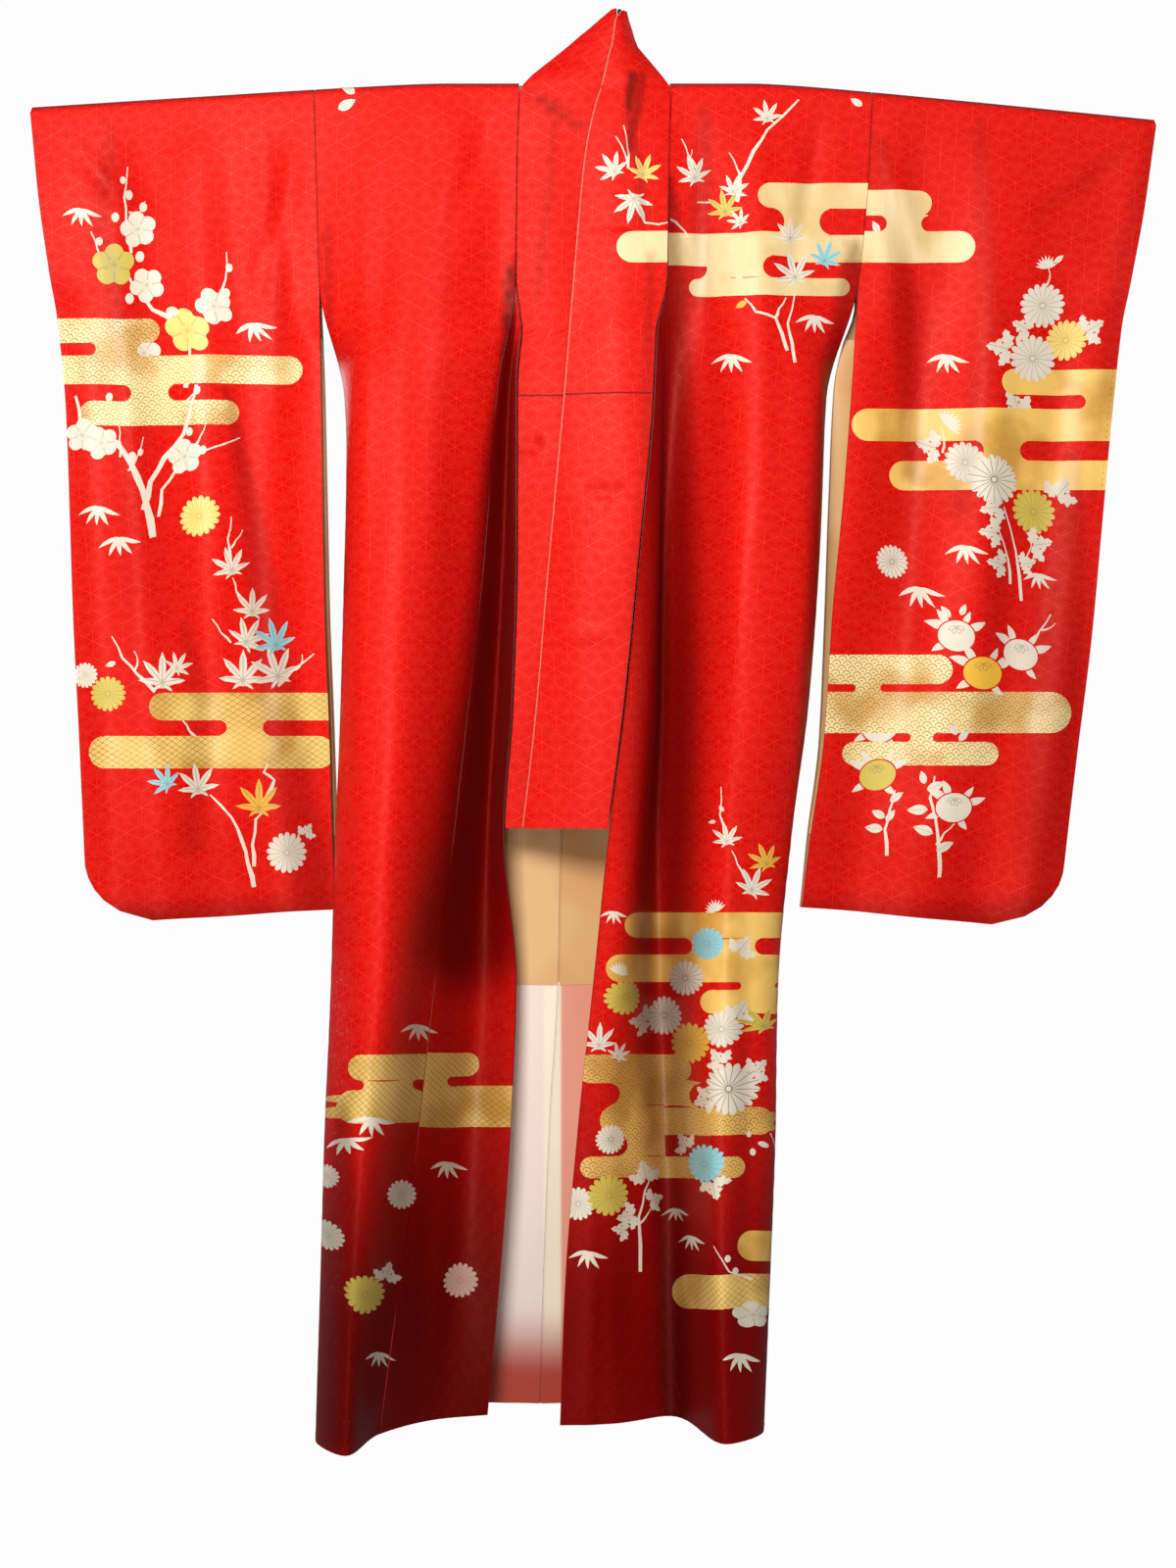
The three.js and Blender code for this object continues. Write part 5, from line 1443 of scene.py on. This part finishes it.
def clothPiece(name, key, dressing):
    patch = patches[key]
    low, high = dressing.get("low", patch.low), dressing.get("high", patch.high)
    step = dressing.get("step", clothDefaults["step"])
    refWidth = float(patch.width((low + high) / 2) if key[0] != "overlap" else patch.widths.max())
    columns = max(4, int(round(refWidth / step)))
    rows = max(4, int(round((high - low) / (step * clothDefaults["rowStretch"]))))
    mine = [f for f in frontStore + backStore if dressing.get("figures", True) and patchTakes(key, f)]
    vertices, faces = [], []

    def addLoop(points):
        first = len(vertices)
        vertices.extend(points)
        faces.append(list(range(first, first + len(points))))

    border = [(k / columns, low) for k in range(columns)]
    border += [(1.0, lerp(low, high, k / rows)) for k in range(rows)]
    border += [(1 - k / columns, high) for k in range(columns)]
    border += [(0.0, lerp(high, low, k / rows)) for k in range(rows)]
    addLoop([(u * refWidth, along) for u, along in border])
    for figure in mine:
        loop = []
        for across, along in figure["points"]:
            rowAlong = along if figure["colour"] == "cloud" else figure["centre"][1]
            loop.append((float(patch.share(across, along, rowAlong)) * refWidth, along))
        area = sum(loop[k - 1][0] * loop[k][1] - loop[k][0] * loop[k - 1][1] for k in range(len(loop)))
        addLoop(splitLong(loop[::-1] if area < 0 else loop))
    for r in range(1, rows):
        shift = 0.25 if r % 2 else -0.25
        for c in range(1, columns):
            vertices.append(((c + shift * (0 < c < columns)) / columns * refWidth, lerp(low, high, r / rows)))
    found = delaunay_2d_cdt([Vector(v) for v in vertices], [], faces, 0, cutSlack, True)
    spots = np.array([tuple(v) for v in found[0]])
    kept = [(triangle, max(owners) - 1) for triangle, owners in zip(found[2], found[5]) if 0 in owners]
    triangles = np.array([triangle for triangle, _ in kept])
    topFigure = np.array([figure for _, figure in kept])
    a, b, c = (spots[triangles[:, k]] for k in range(3))
    turn = (b[:, 0] - a[:, 0]) * (c[:, 1] - a[:, 1]) - (b[:, 1] - a[:, 1]) * (c[:, 0] - a[:, 0])
    triangles[turn < 0] = triangles[turn < 0][:, ::-1]
    used = np.unique(triangles)
    lookup = np.full(len(spots), -1)
    lookup[used] = np.arange(len(used))
    triangles = lookup[triangles]
    u = np.clip(spots[used, 0] / refWidth, 0, 1)
    along = np.clip(spots[used, 1], low, high)
    middle = patch.raised(u, along)
    normal = patch.normals(u, along)
    inset = dressing.get("offset", 0.0)
    wall = dressing.get("wall", clothDefaults["wall"])
    outer = middle + normal * (wall / 2 + inset)
    inner = middle + normal * (-wall / 2 + inset)
    count = len(used)
    # Going round in the flat, faces point outwards where u runs to the viewer's right.
    outerFaces = triangles if patch.facing > 0 else triangles[:, ::-1]
    innerFaces = outerFaces[:, ::-1] + count
    edges = np.concatenate([outerFaces[:, [0, 1]], outerFaces[:, [1, 2]], outerFaces[:, [2, 0]]])
    code = np.sort(edges, axis=1) @ np.array([count + 1, 1])
    _, where, times = np.unique(code, return_index=True, return_counts=True)
    rim = edges[where[times == 1]]
    rimFaces = np.stack([rim[:, 1], rim[:, 0], rim[:, 0] + count, rim[:, 1] + count], 1)
    points = np.concatenate([outer, inner]) / 1000
    mesh = bpy.data.meshes.new(name)
    loopTotal = 3 * len(outerFaces) * 2 + 4 * len(rimFaces)
    allLoops = np.concatenate([outerFaces.ravel(), innerFaces.ravel(), rimFaces.ravel()])
    starts = np.concatenate([np.arange(0, 6 * len(outerFaces), 3),
                             6 * len(outerFaces) + np.arange(0, 4 * len(rimFaces), 4)])
    mesh.vertices.add(len(points))
    mesh.vertices.foreach_set("co", points.ravel())
    mesh.loops.add(loopTotal)
    mesh.loops.foreach_set("vertex_index", allLoops.astype(np.int32))
    mesh.polygons.add(len(starts))
    mesh.polygons.foreach_set("loop_start", starts.astype(np.int32))
    mesh.update(calc_edges=True)
    # materials: the outside by figure, the inside and the rim plain
    slots, slotOf = [dressing.get("outside", "red")], {}
    for k, figure in enumerate(mine):
        tag = (figure["drawing"], figure["colour"]) if figure["colour"] != "ground" else slots[0]
        if tag not in slots:
            slots.append(tag)
        slotOf[k] = slots.index(tag)
    insideSlot = len(slots)
    slots += [dressing.get("inside", "ochre"), dressing.get("lower", "hem"), dressing.get("rim", "seam")]
    for tag in slots:
        mesh.materials.append(lookFor(*tag) if isinstance(tag, tuple) else looks[tag])
    outerSlots = np.array([0 if k < 0 else slotOf[k] for k in topFigure])
    meanAlong = along[triangles].mean(axis=1)
    innerSlots = np.where(downOf(meanAlong) > cut["hemLiningTop"], insideSlot + 1, insideSlot)
    rimSlots = np.full(len(rimFaces), insideSlot + 2)
    mesh.polygons.foreach_set("material_index", np.concatenate([outerSlots, innerSlots,
                                                                rimSlots]).astype(np.int32))
    mesh.polygons.foreach_set("use_smooth", np.ones(len(starts), bool))
    # maps: the cloth's own plane, the drawing inside each figure, and the distance to the sewn edges
    across = patch.across(u, along)
    flat = np.stack([across, along], 1)
    edge = np.stack([u * patch.width(along), (1 - u) * patch.width(along)], 1)
    addMap(mesh, "cloth", np.concatenate([flat, flat])[allLoops] / 1000)
    addMap(mesh, "edge", np.concatenate([edge, edge])[allLoops] / 1000)
    figureUv = np.zeros((loopTotal, 2))
    if mine:
        centre = np.array([f["centre"] for f in mine])
        inverse = np.array([np.linalg.inv(f["basis"]) for f in mine])
        owner = np.repeat(topFigure, 3)
        marked = owner >= 0
        k = owner[marked]
        local = flat[outerFaces.ravel()][marked] - centre[k]
        figureUv[:3 * len(outerFaces)][marked] = np.einsum("nij,nj->ni", inverse[k], local)
    addMap(mesh, "figure", figureUv)
    # the shade map: painted shade from the folds, a fixed painted shade on the inside of the garment, and at
    # least a little painted shade on the rims
    shade = foldShade(key, patch, middle, along) * dressing.get("shadeShare", 1.0)
    insideShade = np.full(count, dressing.get("insideShade", clothDefaults["insideShade"]))
    shades = np.concatenate([shade, insideShade])[allLoops]
    shades[6 * len(outerFaces):] = np.repeat(np.maximum(shade[rim[:, 0]], 0.2), 4)
    addMap(mesh, "shade", np.stack([shades, 0 * shades], 1))
    loopNormals = np.concatenate([normal, -normal])[allLoops]
    loopNormals[6 * len(outerFaces):] = 0
    mesh.normals_split_custom_set(loopNormals)
    thing = addObject(name, mesh)
    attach(thing, "root")
    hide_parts(*dressing["nodes"])
    print(name, len(starts), "faces, half surface", round(sum(p.area for p in mesh.polygons) / 2, 4))


# kinds of piece that a figure runs onto over a seam: from, to
runsOnto = {("body", "overlap"), ("overlap", "body"), ("body", "sleeve"), ("sleeve", "body"),
            ("overlap", "collar"), ("body", "collar")}


def patchTakes(key, figure):
    owner = figure["key"]
    if owner == key:
        return True
    joined = owner[1] == key[1] and (owner[0], key[0]) in runsOnto
    return joined and figure["centre"][1] < 0 and figure["colour"] != "cloud"


seamHalf = cut["seamGap"] / 2
for side in hands:
    clothPiece(f"body_{side}", ("body", side), dict(
        slot="red_silk", nodes=[f"body_front_{side}", f"body_back_{side}"], flat=(0.325, 3.1)))
    clothPiece(f"okumi_panel_{side}", ("overlap", side), dict(
        slot="red_silk", nodes=[f"okumi_{side}"], flat=(0.15, 1.26), area=0.14, wall=1.6))
    clothPiece(f"sleeve_panel_{side}", ("sleeve", side), dict(
        slot="red_silk", nodes=[f"sleeve_front_{side}", f"sleeve_back_{side}"], flat=(0.33, 1.91),
        lower="ochre", rim="rim", insideShade=0.8))
    seam = alongAt(cut["coverEnd"])
    clothPiece(f"collar_band_{side}", ("collar", side), dict(
        slot="red_silk", nodes=[f"collar_{side}"], high=seam - seamHalf, flat=(0.105, 0.5),
        inside="red", lower="red", wall=2.2))
    clothPiece(f"cover_band_{side}", ("collar", side), dict(
        slot="red_silk", nodes=[f"collar_cover_{side}"], low=seam + seamHalf, flat=(0.11, 0.46), area=0.044,
        inside="red", lower="red", step=7.0))
clothPiece("cover_band_back", ("neck", "back"), dict(
    slot="red_silk", nodes=["collar_cover_back"], flat=(0.16, 0.1), figures=False,
    inside="red", lower="red", step=6.0, area=0.012))
liningMove = -(cut["wall"] / 2 + cut["seamGap"] + cut["liningWall"] / 2)


def liningPiece(name, key, uHigh, low, high, dressing):
    source = patches[key]
    uLow = 0.004
    squeezed = Patch(lambda u, a: source.surface(uLow + u * (uHigh - uLow), a), source.facing, low, high,
                     lambda a: 0.0 * a, bothLayers=source.bothLayers)
    squeezed.raised = lambda u, a: source.raised(uLow + u * (uHigh - uLow), a)
    patches[("lining", name)] = squeezed
    dressing.update(offset=liningMove, wall=1.1, figures=False, shadeShare=0.2, low=low, high=high, step=14.0)
    clothPiece(name, ("lining", name), dressing)


for side in hands:
    top, split = backAlong(60), backAlong(cut["hemLiningTop"])
    liningPiece(f"back_lining_{side}", ("body", side), 0.8, top, split - seamHalf,
                dict(slot="ochre_lining", nodes=[f"body_lining_{side}"], outside="ochre", flat=(0.3, 1.0)))
    liningPiece(f"skirt_lining_{side}", ("body", side), 0.8, split + seamHalf, backEnd,
                dict(slot="pale_lining", nodes=[f"hem_lining_{side}"], outside="hem", inside="hem",
                     flat=(0.3, 0.5)))
    liningPiece(f"sleeve_facing_{side}", ("sleeve", side), 0.4, backAlong(290), backAlong(869),
                dict(slot="ochre_lining", nodes=[f"sleeve_lining_{side}"], outside="ochre",
                     flat=(0.13, 0.58)))
print("cloth pieces made")


# Piping and stitches, laid along the cloth
def clothLine(key, across, along, lift, count):
    patch = patches[key]
    us, alongs = np.linspace(*across, count), np.linspace(*along, count)
    return (patch.raised(us, alongs) + patch.normals(us, alongs) * lift) / 1000


def curveObject(name, points):
    curve = bpy.data.curves.new(name, "CURVE")
    curve.dimensions = "3D"
    spline = curve.splines.new("POLY")
    spline.points.add(len(points) - 1)
    for k, point in enumerate(points):
        spline.points[k].co = (*point, 1)
    return addObject(name, curve)


def nodeTree(name, inputs):
    tree = bpy.data.node_groups.new(name, "GeometryNodeTree")
    tree.interface.new_socket("Geometry", in_out="INPUT", socket_type="NodeSocketGeometry")
    for label, kind, value in inputs:
        socket = tree.interface.new_socket(label, in_out="INPUT", socket_type=kind)
        if value is not None:
            socket.default_value = value
    tree.interface.new_socket("Geometry", in_out="OUTPUT", socket_type="NodeSocketGeometry")
    return tree, tree.nodes.new("NodeGroupInput"), tree.nodes.new("NodeGroupOutput")


# wires: from node, its output, to node, its input
def wireUp(tree, wires):
    for start, output, end, entry in wires:
        tree.links.new(start.outputs[output], end.inputs[entry])


def endOfTree(tree, start, end, shape, output):
    realize = tree.nodes.new("GeometryNodeRealizeInstances")
    finish = tree.nodes.new("GeometryNodeSetMaterial")
    wireUp(tree, [(shape, output, realize, "Geometry"), (realize, "Geometry", finish, "Geometry"),
                  (start, "Material", finish, "Material"), (finish, "Geometry", end, "Geometry")])
    return tree


def stitchTree():
    tree, start, end = nodeTree("stitches", [
        ("Pitch", "NodeSocketFloat", 0.006), ("Length", "NodeSocketFloat", 0.0025),
        ("Thickness", "NodeSocketFloat", 0.0005), ("Material", "NodeSocketMaterial", None)])
    resample = tree.nodes.new("GeometryNodeResampleCurve")
    resample.mode = "LENGTH"
    toPoints = tree.nodes.new("GeometryNodeInstanceOnPoints")
    tangent = tree.nodes.new("GeometryNodeInputTangent")
    align = tree.nodes.new("FunctionNodeAlignRotationToVector")
    align.axis = "Z"
    bead = tree.nodes.new("GeometryNodeMeshCylinder")
    bead.inputs["Vertices"].default_value = 6
    wireUp(tree, [(start, "Geometry", resample, "Curve"), (start, "Pitch", resample, "Length"),
                  (resample, "Curve", toPoints, "Points"), (start, "Thickness", bead, "Radius"),
                  (start, "Length", bead, "Depth"), (bead, "Mesh", toPoints, "Instance"),
                  (tangent, "Tangent", align, "Vector"), (align, "Rotation", toPoints, "Rotation")])
    return endOfTree(tree, start, end, toPoints, "Instances")


def pipingTree():
    tree, start, end = nodeTree("piping", [
        ("Radius", "NodeSocketFloat", 0.001), ("Material", "NodeSocketMaterial", None)])
    circle = tree.nodes.new("GeometryNodeCurvePrimitiveCircle")
    circle.inputs["Resolution"].default_value = 8
    sweep = tree.nodes.new("GeometryNodeCurveToMesh")
    sweep.inputs["Fill Caps"].default_value = True
    wireUp(tree, [(start, "Radius", circle, "Radius"), (start, "Geometry", sweep, "Curve"),
                  (circle, "Curve", sweep, "Profile Curve")])
    return endOfTree(tree, start, end, sweep, "Mesh")


def alongSeam(name, tree, points, settings):
    source = curveObject(name + "_path", points)
    modifier = source.modifiers.new("seam", "NODES")
    modifier.node_group = tree
    sockets = {item.name: item.identifier for item in tree.interface.items_tree if item.in_out == "INPUT"}
    for label, value in settings.items():
        modifier[sockets[label]] = value
    bpy.context.view_layer.update()
    evaluated = source.evaluated_get(bpy.context.evaluated_depsgraph_get())
    mesh = bpy.data.meshes.new_from_object(evaluated)
    mesh.name = name
    source.modifiers.remove(modifier)
    bpy.data.objects.remove(source)
    thing = addObject(name, mesh)
    for polygon in mesh.polygons:
        polygon.use_smooth = True
    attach(thing, "root")
    return thing


stitches, piping = stitchTree(), pipingTree()
coverSeam = alongAt(cut["coverEnd"])
stitchLift, coarse, close = 1.1, 50, 120
alongSeam("collar_piping", piping,
          clothLine(("collar", "left"), (0.995, 0.995), (alongAt(cut["collarEnd"]) + 1, 86), 0.6, close),
          dict(Radius=0.0010, Material=looks["piping"]))
hemStitch = dict(Pitch=0.007, Length=0.0026, Thickness=0.00022, Material=looks["thread"])
for side in hands:
    for piece, ends in (("body", (0.02, 0.97)), ("overlap", (0.04, 0.96))):
        hem = clothLine((piece, side), ends, (bodyEnd + 7, bodyEnd + 7), stitchLift, coarse)
        alongSeam(f"{piece}_hem_stitches_{side}", stitches, hem, hemStitch)
    cross = clothLine(("collar", side), (0.01, 0.99), (coverSeam, coverSeam), stitchLift, coarse)
    alongSeam(f"collar_seam_{side}", piping, cross, dict(Radius=0.0009, Material=looks["thread"]))
    cuff = clothLine(("sleeve", side), (0.985, 0.985), (alongAt(cut["sleeveLength"] - 90), -20), stitchLift,
                     close)
    alongSeam(f"cuff_stitches_{side}", stitches, cuff, hemStitch)
print("seams sewn")

# Hanger
wood, wire = woodLook(), steelLook()
for node, look in (("hanger_rod", wood), ("hanger_block", wood), ("hanger_hook", wire)):
    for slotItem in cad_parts[node].material_slots:
        slotItem.material = look

# Backdrop and lights
stage = dict(floor=-1.93, radius=14.0, rings=10, sides=48)
floor, radius, rings, sides = stage.values()
stagePoints = [(0, 0, floor)]
for k in range(rings):
    angle = math.pi / 2 * k / rings
    reach, height = radius * math.cos(angle), floor + radius * math.sin(angle)
    for n in range(sides):
        turn = 2 * math.pi * n / sides
        stagePoints.append((reach * math.cos(turn), reach * math.sin(turn), height))
stagePoints.append((0, 0, floor + radius))
stageFaces = []
for n in range(sides):
    after = (n + 1) % sides
    stageFaces.append((0, 1 + n, 1 + after))
    for k in range(rings - 1):
        low, high = 1 + k * sides, 1 + (k + 1) * sides
        stageFaces.append((low + n, high + n, high + after, low + after))
    top = 1 + (rings - 1) * sides
    stageFaces.append((top + n, len(stagePoints) - 1, top + after))
backdropMesh = bpy.data.meshes.new("backdrop")
backdropMesh.from_pydata(stagePoints, [], stageFaces)
backdropMesh.update()
backdrop = addObject("backdrop", backdropMesh)
paper = Look("white paper", Specular_IOR_Level=0.0, Emission_Strength=1.0)
paper.put(paper.shader.inputs["Emission Color"], (0.98, 0.98, 0.98, 1.0))
backdrop.data.materials.append(paper.finish((0.0, 0.0, 0.0)))
backdrop.visible_diffuse = backdrop.visible_glossy = backdrop.visible_shadow = False


def softLight(name, place, aim, size, power):
    data = bpy.data.lights.new(name, "AREA")
    data.shape = "RECTANGLE"
    data.size, data.size_y = size
    data.energy = power
    lamp = addObject(name, data)
    lamp.location = place
    lamp.rotation_euler = (Vector(aim) - Vector(place)).to_track_quat("-Z", "Y").to_euler()


softLight("key light", (-0.55, -2.1, 0.15), (0, 0, -0.7), (0.8, 0.6), 55)
softLight("fill light", (1.4, -3.0, -0.1), (0.2, 0, -0.7), (1.4, 1.4), 9)
softLight("low light", (-0.5, -2.6, -1.25), (-0.1, 0, -1.25), (1.0, 0.7), 17)
for name, x in (("left back light", -2.6), ("right back light", 2.6)):
    softLight(name, (x, 2.4, 0.4), (0, 0, -0.7), (1.4, 1.6), 42)
world = bpy.data.worlds.new("studio")
world.use_nodes = True
world.node_tree.nodes["Background"].inputs["Color"].default_value = (0.95, 0.96, 1.0, 1)
world.node_tree.nodes["Background"].inputs["Strength"].default_value = 0.15
bpy.context.scene.world = world
print("stage set")
